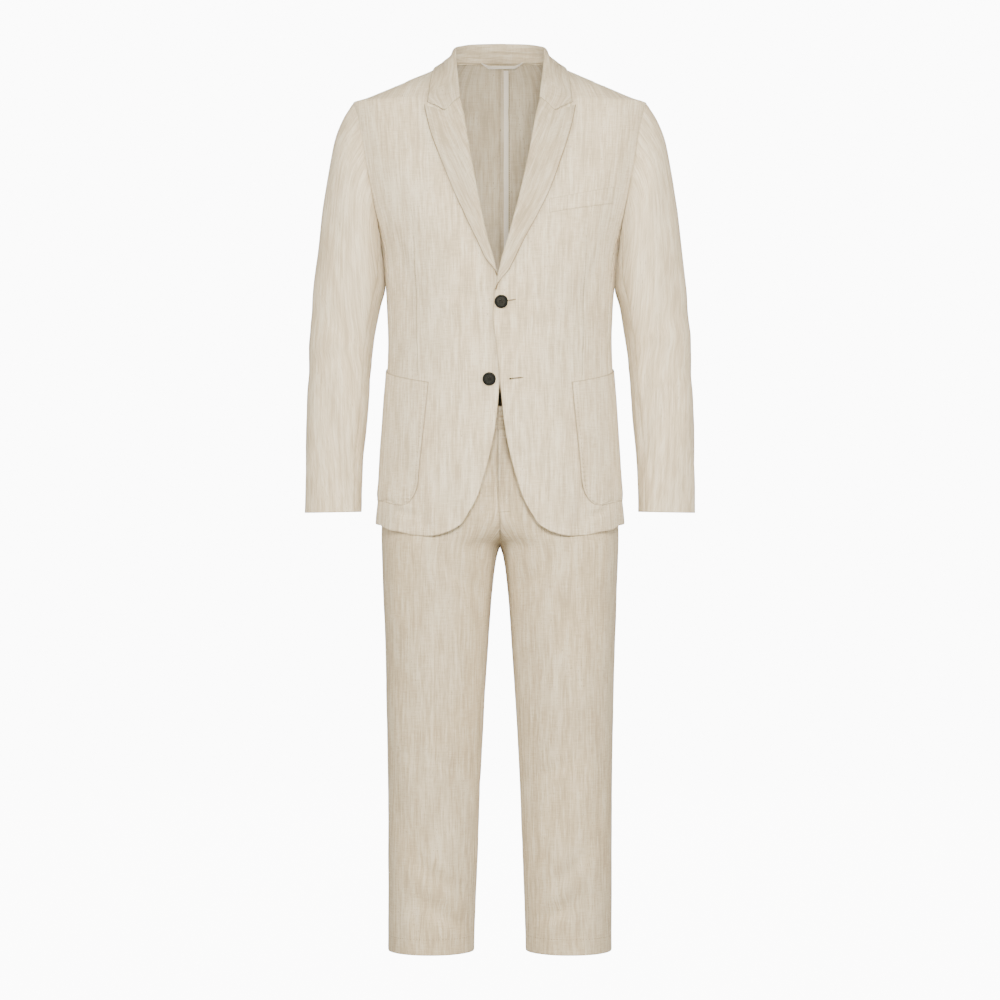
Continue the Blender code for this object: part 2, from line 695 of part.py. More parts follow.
def sleeve_point(t, turn_deg, side):
    """A point of the sleeve: 0 degrees outside, 90 at the front, 180 under the arm, 270 behind."""
    value = {name: track(t) for name, track in sleeve_track.items()}
    turn = math.radians(turn_deg)
    ring = ring_point(value, turn)
    if t < CAP_BLEND:
        z, arm_turn = armhole_point(turn_deg if turn_deg % 180 else turn_deg + 0.01)
        loop = torso(z, arm_turn) + Vector((SEAM + CLEAR, 0.0, 0.0))
        start = ring_point({name: track(0.0) for name, track in sleeve_track.items()}, turn)
        ring += (loop - start) * (1 - ease(t / CAP_BLEND))
    axis = Vector(((value["top_x"] + value["under_x"]) / 2, (value["front"] + value["back"]) / 2, ring.z))
    inward = (axis - ring).normalized()
    ring += inward * fold_depth(SLEEVE_FOLDS, ring.x, ring.z) * ease((t - CAP_BLEND) / 0.15)
    return Vector((ring.x * side, ring.y, ring.z))


def ring_point(value, turn):
    c, s = power(math.cos(turn), 2 / SLEEVE_POWER), power(math.sin(turn), 2 / SLEEVE_POWER)
    return Vector(
        (
            mix(value["under_x"], value["top_x"], (1 + c) / 2),
            mix(value["back"], value["front"], (1 + s) / 2),
            mix(value["under_z"], value["top_z"], (1 + c) / 2),
        )
    )


def sleeve_piece(name, side, first, last, columns, finish, collection):
    """One of the sleeve's two pieces, between two seams that run down the arm."""
    rows = 17
    gap = math.degrees(ROUND_SEAM / 2 / SLEEVE_RADIUS)
    turns = [mix(first + gap, last - gap, share) for share in shares(columns)]
    grid = [[sleeve_point(share**1.15, turn, side) for turn in turns] for share in shares(rows)]
    value = {key: track(0.5) for key, track in sleeve_track.items()}
    centre = ((value["top_x"] + value["under_x"]) / 2 * side, (value["front"] + value["back"]) / 2)
    return wall(name, grid, CLOTH, finish, collection, away_from(centre))


def sleeve(side, finish, collection):
    word = "left" if side > 0 else "right"
    back, front = BACK_SLEEVE_TURN, FRONT_SLEEVE_TURN
    sleeve_piece(f"sleeve_top_{word}", side, back - 360, front, 13, finish, collection)
    sleeve_piece(f"sleeve_under_{word}", side, front, back, 7, finish, collection)


# Trousers


def leg_point(z, share, front, lift=0.0):
    """A point of the left trouser leg: share 0 is the centre seam or inseam, 1 the side seam."""
    value = {name: track(z) for name, track in leg_track.items()}
    centre = (value["out"] + value["inner"]) / 2
    half = (value["out"] - value["inner"]) / 2
    turn = math.pi * share
    if z > CROTCH_Z:
        across = (1 - power(math.cos(turn), 2 / LEG_POWER)) / 2
        turn = math.acos(min(power((centre - value["out"] * across) / half, LEG_POWER / 2), 1.0))
    depth = -value["front"] if front else value["back"]
    x = centre - half * power(math.cos(turn), 2 / LEG_POWER)
    y = depth * power(math.sin(turn), 2 / LEG_POWER)
    normal = Vector((power(-math.cos(turn), 1) / half, math.sin(turn) / depth, 0.0)).normalized()
    if front:
        lift -= fold_depth(LEG_FOLDS, x, z) * math.sin(turn) ** 2
    else:
        lift -= fold_depth(LEG_FOLDS, mix(0.21, 0.0, x / 0.21), z - 0.03) * math.sin(turn) ** 2
    return Vector((x, y, z)) + normal * lift


def fly_shift(z):
    return FLY_X * ease((z - CROTCH_Z - 0.03) / 0.06)


def leg_heights():
    """The rows of a trouser panel, from the waistband down to the hem."""
    heights = [mix(CROTCH_Z, BAND_Z - SEAM, (1 - share) ** 1.8) for share in shares(9)]
    return heights + [mix(CROTCH_Z, LEG_HEM_Z, share**1.15) for share in shares(12)[1:]]


def leg_panel(side, front, finish, collection):
    """The front or back of one leg, from the waistband to the hem."""
    half_seam = -ROUND_SEAM / 2 if front else ROUND_SEAM / 2
    grid = []
    for z in reversed(leg_heights()):
        row = []
        for share in shares(9):
            point = leg_point(z, share, front)
            edge = (1 - share) ** 3
            x, y = point.x * side, point.y + half_seam * share**6
            if z >= CROTCH_Z:
                x += side * SEAM / 2 * edge + (fly_shift(z) * edge if front else 0.0)
            if z <= CROTCH_Z:
                y += half_seam * edge
            row.append(Vector((x, y, point.z)))
        grid.append(row)
    name = f"trouser_{'front' if front else 'back'}_{'left' if side > 0 else 'right'}"
    return wall(name, grid, CLOTH, finish, collection, away_from((0.08 * side, 0.0)))


def waistband(side, finish, collection):
    """Half of the waistband, from the fly round the side to the centre of the back."""
    grid = []
    columns = [(True, share) for share in shares(9)]
    columns += [(False, share) for share in reversed(shares(9)[:-1])]
    for z in (BAND_Z, mix(BAND_Z, WAIST_Z, 0.5), WAIST_Z):
        row = []
        for front, share in columns:
            point = leg_point(z, share, front, 0.0006)
            x = max(point.x, 0.0) * side
            x += ((fly_shift(z) if front else 0.0) + side * SEAM / 2) * (1 - share) ** 3
            row.append(Vector((x, point.y, z)))
        grid.append(row)
    name = "waistband_left" if side > 0 else "waistband_right"
    return wall(name, grid, CLOTH, finish, collection, away_from((0.0, 0.0)))


def fly_shield(finish, collection):
    """The strip behind the fly opening."""
    heights = [FLY_END_Z] + [z for z in reversed(leg_heights()) if z > FLY_END_Z + 0.002]
    heights[-1] -= FLY_CLEAR
    grid = []
    for z in heights:
        value = {name: track(z) for name, track in leg_track.items()}
        centre = (value["out"] + value["inner"]) / 2
        half = (value["out"] - value["inner"]) / 2
        row = []
        for share in shares(5):
            x = mix(*FLY_SHIELD, share)
            reach = (centre - abs(x)) / half
            y = -value["front"] * (1 - abs(reach) ** LEG_POWER) ** (1 / LEG_POWER)
            row.append(Vector((x, y + CLOTH + FLY_CLEAR, z)))
        grid.append(row)
    return wall("fly_shield", grid, FACING, finish, collection, lambda point: Vector((0.0, -1.0, 0.0)))


# Pieces that lie on the jacket


def patch_pocket(side, finish, collection):
    """A patch pocket with round lower corners, which wraps round the side."""
    lift = POCKET_CLEAR + CLOTH
    grid = []
    for share in [0.0, 0.03, 0.08, 0.15, 0.25, 0.37, 0.5, 0.62, 0.74, 0.87, 1.0]:
        tall = POCKET_TOP_FRONT_Z - POCKET_BOTTOM_Z
        low = min(share * tall / POCKET_ROUND, 1.0)
        round_off = POCKET_ROUND * (1 - math.sqrt(1 - (1 - low) ** 2)) * 0.62
        row = []
        for across in shares(9):
            top = mix(POCKET_TOP_FRONT_Z, POCKET_TOP_BACK_Z, across)
            z = mix(POCKET_BOTTOM_Z, top, share)
            first = turn_at(z, mix(POCKET_FRONT_BOTTOM_X, POCKET_FRONT_TOP_X, share))
            last = turn_at_depth(z, POCKET_BACK_Y)
            inset = round_off / 0.13 * (first - last)
            point = torso(z, mix(first - inset, last + inset * 0.7, across), lift)
            row.append(Vector((point.x * side, point.y, point.z)))
        grid.append(row)
    name = "patch_pocket_left" if side > 0 else "patch_pocket_right"
    return wall(name, grid, CLOTH, finish, collection, away_from((0.0, 0.0)))


def breast_welt(finish, collection):
    """The sloping welt of the breast pocket."""
    grid = []
    for share in shares(3):
        row = []
        for across in shares(7):
            x = mix(WELT_INNER[0], WELT_OUTER[0], across)
            foot, top = mix(WELT_INNER[1], WELT_OUTER[1], across), mix(WELT_INNER[2], WELT_OUTER[2], across)
            row.append(on_front(x, mix(foot, top, share), 1, POCKET_CLEAR + TAPE))
        grid.append(row)
    return wall("breast_welt", grid, TAPE, finish, collection, lambda point: Vector((0.0, -1.0, 0.0)))


def inside_back(x, z, inset):
    """A point on the inside of the back, clear of its cloth."""
    point = torso(z, turn_at(z, abs(x), True), -CLOTH - CLEAR - inset)
    return Vector((math.copysign(point.x, x), point.y, point.z))


def hanger_loop(finish, collection):
    """The loop at the neck: a flat strip whose ends turn up into the neck seam."""
    grid = []
    reach = LOOP_HALF - LOOP_TURN
    for low in (0.0, 1.0):
        row = []
        for share in shares(11):
            x = mix(-LOOP_HALF, LOOP_HALF, share)
            rise = max(abs(x) - reach, 0.0) / LOOP_TURN
            width = LOOP_WIDTH * (1 - 0.65 * rise)
            z = LOOP_TOP_Z + LOOP_RISE * rise - width * (1 - low)
            row.append(inside_back(x + LOOP_CENTRE_X, z, LOOP_HANG - (LOOP_HANG - LOOP_END) * rise))
        grid.append(row)
    return wall("hanger_loop", grid, TAPE, finish, collection, lambda point: Vector((0.0, -1.0, 0.0)))


def back_tape(finish, collection):
    """The tape that binds the seam allowance down the inside of the back."""
    heights = back_heights()
    heights[0] += 0.004
    heights[-1] = TAPE_TOP_Z
    grid = [[inside_back(x, z, TAPE + TAPE_CLEAR) for x in TAPE_X] for z in heights]
    return wall("back_seam_tape", grid, TAPE, finish, collection, lambda point: Vector((0.0, -1.0, 0.0)))


def button(name, x, z, surface_y, finish, collection):
    """A four-hole button with a raised rim and a dished face, standing on the cloth."""
    rim, dish = 0.0022, 0.0011
    profile = [
        (0.0, BUTTON_THICKNESS - dish),
        (BUTTON_RADIUS - rim * 1.6, BUTTON_THICKNESS - dish),
        (BUTTON_RADIUS - rim, BUTTON_THICKNESS),
        (BUTTON_RADIUS - rim * 0.35, BUTTON_THICKNESS - 0.0003),
        (BUTTON_RADIUS, BUTTON_THICKNESS * 0.55),
        (BUTTON_RADIUS - 0.0012, 0.0004),
        (BUTTON_RADIUS * 0.5, 0.0),
        (0.0, 0.0),
    ]
    mesh = bpy.data.meshes.new(name)
    bm = bmesh.new()
    verts = [bm.verts.new((radius, 0.0, height)) for radius, height in profile]
    for first, second in zip(verts, verts[1:]):
        bm.edges.new((first, second))
    bm.to_mesh(mesh)
    bm.free()
    made = add_object(name, mesh, finish, collection)
    screw = made.modifiers.new("turn", "SCREW")
    screw.steps = screw.render_steps = 28
    screw.use_merge_vertices = True
    screw.merge_threshold = 0.00001
    made.location = (x, surface_y - 0.0003, z)
    made.rotation_euler = (math.radians(90), 0.0, 0.0)
    for index in range(4):
        turn = math.radians(45 + 90 * index)
        cut = bmesh.new()
        radius = BUTTON_HOLE_RADIUS
        bmesh.ops.create_cone(cut, cap_ends=True, segments=10, radius1=radius, radius2=radius, depth=0.02)
        cutter_mesh = bpy.data.meshes.new(f"{name}_hole_{index}")
        cut.to_mesh(cutter_mesh)
        cut.free()
        cutter = bpy.data.objects.new(cutter_mesh.name, cutter_mesh)
        cutters.objects.link(cutter)
        cutter.hide_render = True
        cutter.display_type = "WIRE"
        cutter.parent = made
        cutter.location = (math.cos(turn) * BUTTON_HOLE_SPREAD, math.sin(turn) * BUTTON_HOLE_SPREAD, 0.0)
        hole = made.modifiers.new(f"hole_{index}", "BOOLEAN")
        hole.operation = "DIFFERENCE"
        hole.object = cutter
    return made


for old in list(bpy.data.objects):
    bpy.data.objects.remove(old)

suit = bpy.data.collections.new("linen_suit")
cutters = bpy.data.collections.new("cutters")
bpy.context.scene.collection.children.link(suit)
bpy.context.scene.collection.children.link(cutters)

jacket_linen = material("jacket_linen", (0.70, 0.64, 0.56), 0.9)
trouser_linen = material("trouser_linen", (0.64, 0.58, 0.50), 0.9)
tape_cloth = material("tape_cloth", (0.74, 0.71, 0.68), 0.8)
button_resin = material("button_resin", (0.02, 0.02, 0.022), 0.35)

for hand in (1, -1):
    front_panel(hand, jacket_linen, suit)
    side_panel(hand, jacket_linen, suit)
    back_panel(hand, jacket_linen, suit)
    lapel(hand, jacket_linen, suit)
    sleeve(hand, jacket_linen, suit)
    patch_pocket(hand, jacket_linen, suit)
    leg_panel(hand, True, trouser_linen, suit)
    leg_panel(hand, False, trouser_linen, suit)
    waistband(hand, trouser_linen, suit)
collar(jacket_linen, suit)
collar_stand(jacket_linen, suit)
breast_welt(jacket_linen, suit)
fly_shield(trouser_linen, suit)
hanger_loop(tape_cloth, suit)
back_tape(tape_cloth, suit)

TOP_BUTTON = (0.0018, -0.3771)
LOWER_BUTTON = (-0.0163, -0.4933)
top_y = on_front(TOP_BUTTON[0], TOP_BUTTON[1], 1, 0.0).y
lower_y = on_front(-LOWER_BUTTON[0], LOWER_BUTTON[1], -1, 0.0).y
button("button_top", *TOP_BUTTON, top_y, button_resin, suit)
button("button_lower", *LOWER_BUTTON, lower_y, button_resin, suit)
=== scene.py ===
"""Dresses the two-button linen suit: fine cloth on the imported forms, sewing, buttons and studio."""

import logging
import math
from collections.abc import Callable, Sequence
from dataclasses import dataclass, field, replace
from enum import Enum
from typing import NamedTuple

import bpy
import numpy as np
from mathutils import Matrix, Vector


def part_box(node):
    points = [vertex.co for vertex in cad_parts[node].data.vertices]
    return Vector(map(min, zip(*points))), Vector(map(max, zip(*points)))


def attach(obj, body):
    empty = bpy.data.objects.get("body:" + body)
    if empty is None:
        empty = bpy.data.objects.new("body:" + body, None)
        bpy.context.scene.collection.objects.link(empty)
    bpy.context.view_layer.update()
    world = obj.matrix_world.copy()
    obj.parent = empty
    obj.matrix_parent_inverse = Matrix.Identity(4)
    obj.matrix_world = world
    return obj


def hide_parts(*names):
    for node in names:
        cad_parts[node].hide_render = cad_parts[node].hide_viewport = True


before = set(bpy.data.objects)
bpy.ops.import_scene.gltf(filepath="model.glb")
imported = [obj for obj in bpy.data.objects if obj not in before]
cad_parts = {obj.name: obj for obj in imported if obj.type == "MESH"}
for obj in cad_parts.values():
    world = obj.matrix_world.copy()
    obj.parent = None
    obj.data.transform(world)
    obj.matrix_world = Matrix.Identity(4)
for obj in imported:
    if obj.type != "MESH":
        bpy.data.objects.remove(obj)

log = logging.getLogger("linen_suit")
Array = np.ndarray
Number = float | Array
Place = tuple[float, float]
Colour = tuple[float, float, float]


class Side(Enum):
    """The wearer's side. The value is the sign of x there."""

    LEFT = 1
    RIGHT = -1

    @property
    def word(self) -> str:
        """The side's word in a piece's name."""
        return self.name.lower()


class Edge(Enum):
    """How a cloth edge is finished."""

    SEAM = "seam"
    FOLDED = "folded"
    FREE = "free"


class Held(Enum):
    DRAPED = "draped"
    HUNG = "hung"
    LAID = "laid"
    FOLDED = "folded"


# Sizes that the pieces share with the CAD model, in metres
CLOTH = 0.0014
FACING = 0.0012
TAPE = 0.0008
SEAM = 0.0008
ROUND_SEAM = 0.0014
SHOULDER_SEAM = 0.0028
CLEAR = 0.0004

# Half the width of a groove that a row of stitches pulls in
STITCHED = 0.0012

# From a sheet's edge, where its rows and columns lie closer
NARROW = (0.0006, 0.0014, 0.0026)

FORWARD = np.array([0.0, -1.0, 0.0])
BACKWARD = np.array([0.0, 1.0, 0.0])


class Track:
    """A smooth curve through pairs of numbers, which never overshoots them."""

    def __init__(self, keys: Sequence[float], values: Sequence[float]) -> None:
        """Works out the slopes.

        Args:
            keys: Where the values stand, in any order.
            values: The value at each key.
        """
        order = np.argsort(keys)
        self.keys = np.array(keys, float)[order]
        self.values = np.array(values, float)[order]
        step = np.diff(self.keys)
        rise = np.diff(self.values) / step
        self.slope = np.zeros(len(self.keys))
        self.slope[0], self.slope[-1] = rise[0], rise[-1]
        for i in range(1, len(self.slope) - 1):
            if rise[i - 1] * rise[i] > 0:
                near, far = 2 * step[i] + step[i - 1], step[i] + 2 * step[i - 1]
                self.slope[i] = (near + far) / (near / rise[i - 1] + far / rise[i])

    def __call__(self, key: Number) -> Array:
        """The value at a key, held level past the ends."""
        key = np.clip(key, self.keys[0], self.keys[-1])
        i = np.clip(np.searchsorted(self.keys, key, "right") - 1, 0, len(self.keys) - 2)
        step = self.keys[i + 1] - self.keys[i]
        t = (key - self.keys[i]) / step
        lead, trail = self.slope[i] * step, self.slope[i + 1] * step
        return (
            self.values[i] * (1 + 2 * t) * (1 - t) ** 2
            + lead * t * (1 - t) ** 2
            + self.values[i + 1] * t * t * (3 - 2 * t)
            - trail * t * t * (1 - t)
        )


def tracks(rows: Sequence[tuple[float, ...]]) -> list[Track]:
    """One track for each column of a table, over its first column."""
    columns = list(zip(*rows))
    return [Track(columns[0], column) for column in columns[1:]]


def mix(a: Number, b: Number, share: Number) -> Number:
    """The value that far on the way from a to b."""
    return a + (b - a) * share


def ease(share: Number) -> Array:
    """A smooth step from 0 to 1."""
    share = np.clip(share, 0.0, 1.0)
    return share * share * (3 - 2 * share)


def signed(value: Number, exponent: Number) -> Array:
    """A power that keeps the sign."""
    return np.sign(value) * np.abs(value) ** exponent


def points(x: Number, y: Number, z: Number) -> Array:
    """Coordinates stacked into points."""
    return np.stack(np.broadcast_arrays(x, y, z), axis=-1).astype(float)


def unit(vectors: Array) -> Array:
    """Vectors of length 1."""
    return vectors / np.maximum(np.linalg.norm(vectors, axis=-1, keepdims=True), 1e-12)


def mirrored(places: Array, side: Side) -> Array:
    """Points of the left side, moved to the side that is asked for."""
    return places * np.array([side.value, 1.0, 1.0])


def rumple(places: Array, size: float, seed: float) -> Array:
    """Smooth uneven waves from -1 to 1.

    Args:
        places: Points, in metres.
        size: How wide one wave is.
        seed: A number that picks the pattern.

    Returns:
        One value for each point.
    """
    cell = places / size
    base = np.floor(cell)
    share = ease(cell - base)
    total = np.zeros(places.shape[:-1])
    for corner in np.ndindex(2, 2, 2):
        at = base + corner
        value = np.sin(at @ np.array([127.1, 311.7, 74.7]) + seed) * 43758.5453
        weight = np.prod(np.where(corner, share, 1 - share), axis=-1)
        total += (2 * (value - np.floor(value)) - 1) * weight
    return total


class Fold(NamedTuple):
    """A soft fold of the CAD form, as seen from the front, the same on both sides."""

    x: float
    z: float
    turn: float
    length: float
    width: float
    depth: float


def fold_depth(folds: Sequence[Fold], x: Number, z: Number) -> Array:
    """How far the folds press the cloth in at a place seen from the front."""
    depth = np.zeros(np.broadcast(x, z).shape)
    for fold in folds:
        turn = math.radians(fold.turn)
        along = (x - fold.x) * math.cos(turn) + (z - fold.z) * math.sin(turn)
        aside = (z - fold.z) * math.cos(turn) - (x - fold.x) * math.sin(turn)
        depth = depth + fold.depth * np.exp(-((along / fold.length) ** 2) - (aside / fold.width) ** 2)
    return depth


class Crease(NamedTuple):
    """One soft uneven trough, with a low ridge beside it.

    x and z are its middle as seen from the front, turn its direction from level in degrees. length
    and width are halves. A depth below zero stands proud. bow bends it, and ridge is the ridge's
    share of the depth.
    """

    x: float
    z: float
    turn: float
    length: float
    width: float
    depth: float
    bow: float = 0.0
    ridge: float = 0.5
    behind: bool = False


@dataclass
class CreaseField:
    """Creases on one form, at points rather than on a picture, so that layers crease together."""

    creases: Sequence[Crease]
    locate: Callable[[float, float, bool], tuple[Array, Array]]
    strength: float = 1.4
    placed: list[tuple[Crease, Array, Array, Array, Array]] = field(default_factory=list)

    def __post_init__(self) -> None:
        """Finds each crease's middle and directions on the form."""
        for crease in self.creases:
            middle, normal = self.locate(crease.x, crease.z, crease.behind)
            turn = math.radians(crease.turn)
            along = np.array([math.cos(turn), 0.0, math.sin(turn)])
            along = unit(along - normal * (along @ normal))
            self.placed.append((crease, middle, normal, along, np.cross(normal, along)))

    def depth(self, places: Array) -> Array:
        """How far the creases press the cloth in at each point."""
        total = np.zeros(places.shape[:-1])
        for crease, middle, normal, along, aside in self.placed:
            away = places - middle
            t = (away @ along) / crease.length
            s = (away @ aside - crease.bow * t * t) / crease.width
            near = np.exp(-(((away @ normal) / 0.07) ** 2))
            taper = np.exp(-(np.abs(t) ** 2.4)) * (1 + 0.25 * np.sin(2.3 * t + crease.x * 90))
            profile = np.exp(-s * s) - crease.ridge * np.exp(-((np.abs(s) - 1.9) ** 2) * 1.4)
            total += crease.depth * near * taper * profile
        return total * self.strength


# The torso form: z, half width, depth in front, depth behind, roundness
TORSO = [
    (-0.750, 0.1945, 0.128, 0.132, 2.30),
    (-0.710, 0.1925, 0.129, 0.131, 2.30),
    (-0.645, 0.1865, 0.131, 0.126, 2.30),
    (-0.583, 0.1825, 0.131, 0.115, 2.30),
    (-0.521, 0.1785, 0.130, 0.104, 2.30),
    (-0.490, 0.1757, 0.130, 0.100, 2.30),
    (-0.459, 0.1740, 0.131, 0.099, 2.30),
    (-0.428, 0.1734, 0.132, 0.101, 2.32),
    (-0.366, 0.1757, 0.135, 0.110, 2.36),
    (-0.335, 0.1785, 0.137, 0.117, 2.38),
    (-0.285, 0.1845, 0.137, 0.124, 2.40),
    (-0.210, 0.2090, 0.130, 0.128, 2.35),
    (-0.150, 0.2250, 0.117, 0.124, 2.30),
    (-0.100, 0.2290, 0.099, 0.114, 2.25),
    (-0.062, 0.2275, 0.079, 0.103, 2.20),
    (-0.0558, 0.2100, 0.075, 0.100, 2.20),
    (-0.0403, 0.1726, 0.066, 0.094, 2.20),
    (-0.0248, 0.1354, 0.056, 0.087, 2.15),
    (-0.0124, 0.1060, 0.046, 0.080, 2.10),
    (0.0000, 0.0785, 0.037, 0.072, 2.10),
    (0.0080, 0.0600, 0.031, 0.067, 2.10),
    (0.0160, 0.0400, 0.025, 0.061, 2.10),
]
TORSO_FOLDS = [
    Fold(0.128, -0.735, 85.0, 0.060, 0.020, 0.0040),
    Fold(0.165, -0.735, 95.0, 0.050, 0.016, -0.0030),
    Fold(-0.130, -0.735, 95.0, 0.060, 0.020, 0.0040),
    Fold(-0.166, -0.735, 85.0, 0.050, 0.016, -0.0030),
    Fold(0.060, -0.420, 25.0, 0.060, 0.020, 0.0020),
    Fold(-0.064, -0.430, 155.0, 0.065, 0.022, 0.0022),
    Fold(0.150, -0.330, 60.0, 0.070, 0.020, 0.0025),
    Fold(-0.148, -0.335, 118.0, 0.075, 0.020, 0.0026),
]
TORSO_CREASES = [
    # Round the top button, and from it towards the sides
    Crease(0.062, -0.372, 8, 0.045, 0.010, 0.0009, 0.004),
    Crease(-0.058, -0.366, 172, 0.040, 0.009, 0.0010, 0.003),
    Crease(0.050, -0.402, 152, 0.034, 0.009, 0.0008, -0.003),
    Crease(-0.052, -0.408, 30, 0.038, 0.010, 0.0007, 0.003),
    # Under the arms, down towards the waist
    Crease(0.146, -0.322, 68, 0.040, 0.009, 0.0010, 0.005),
    Crease(-0.145, -0.328, 114, 0.044, 0.010, 0.0010, -0.005),
    Crease(0.156, -0.366, 50, 0.028, 0.008, 0.0008, 0.003),
    Crease(-0.154, -0.360, 131, 0.026, 0.008, 0.0008, -0.003),
    Crease(0.134, -0.268, 76, 0.040, 0.010, 0.0008, 0.003),
    Crease(-0.137, -0.262, 103, 0.037, 0.011, 0.0009, -0.004),
    # The shoulders and chest
    Crease(0.150, -0.120, 74, 0.050, 0.013, 0.0008, 0.005),
    Crease(-0.154, -0.128, 104, 0.055, 0.013, 0.0007, -0.005),
    Crease(0.118, -0.180, 84, 0.050, 0.016, 0.0006),
    Crease(-0.112, -0.196, 96, 0.045, 0.015, 0.0006),
    # The waist and skirt
    Crease(0.108, -0.452, 168, 0.036, 0.010, 0.0007, 0.004),
    Crease(-0.102, -0.446, 14, 0.040, 0.011, 0.0007, 0.003),
    Crease(0.082, -0.585, 97, 0.070, 0.016, 0.0008, 0.006),
    Crease(-0.086, -0.600, 84, 0.075, 0.017, 0.0008, -0.005),
    Crease(0.120, -0.702, 82, 0.026, 0.009, 0.0012, 0.002),
    Crease(-0.118, -0.700, 98, 0.028, 0.009, 0.0012, -0.002),
    Crease(0.140, -0.700, 11, 0.034, 0.005, 0.0014, 0.003),
    Crease(-0.136, -0.698, 169, 0.030, 0.005, 0.0014, 0.002),
    Crease(0.118, -0.713, 8, 0.030, 0.004, 0.0011, -0.002),
    Crease(-0.120, -0.714, 172, 0.026, 0.004, 0.0011, -0.002),
    Crease(0.158, -0.690, 30, 0.016, 0.004, 0.0007),
    Crease(-0.156, -0.689, 150, 0.018, 0.004, 0.0007),
    # The back: across the shoulder blades, the hollow of the waist, and the skirt
    Crease(0.075, -0.130, 160, 0.060, 0.015, 0.0014, 0.006, 0.5, True),
    Crease(-0.080, -0.140, 22, 0.055, 0.014, 0.0012, 0.005, 0.5, True),
    Crease(0.120, -0.250, 118, 0.070, 0.014, 0.0016, 0.008, 0.5, True),
    Crease(-0.122, -0.240, 60, 0.065, 0.013, 0.0015, -0.008, 0.5, True),
    Crease(0.070, -0.430, 172, 0.060, 0.013, 0.0015, 0.006, 0.5, True),
    Crease(-0.066, -0.420, 10, 0.055, 0.012, 0.0016, 0.005, 0.5, True),
    Crease(0.050, -0.462, 12, 0.045, 0.010, 0.0010, -0.004, 0.5, True),
    Crease(-0.078, -0.455, 164, 0.050, 0.011, 0.0011, 0.004, 0.5, True),
    Crease(0.085, -0.620, 95, 0.080, 0.017, 0.0012, 0.006, 0.5, True),
    Crease(-0.080, -0.610, 86, 0.075, 0.018, 0.0012, -0.006, 0.5, True),
    Crease(0.140, -0.560, 104, 0.060, 0.014, 0.0010, 0.004, 0.5, True),
    Crease(-0.138, -0.575, 77, 0.055, 0.014, 0.0011, -0.004, 0.5, True),
]


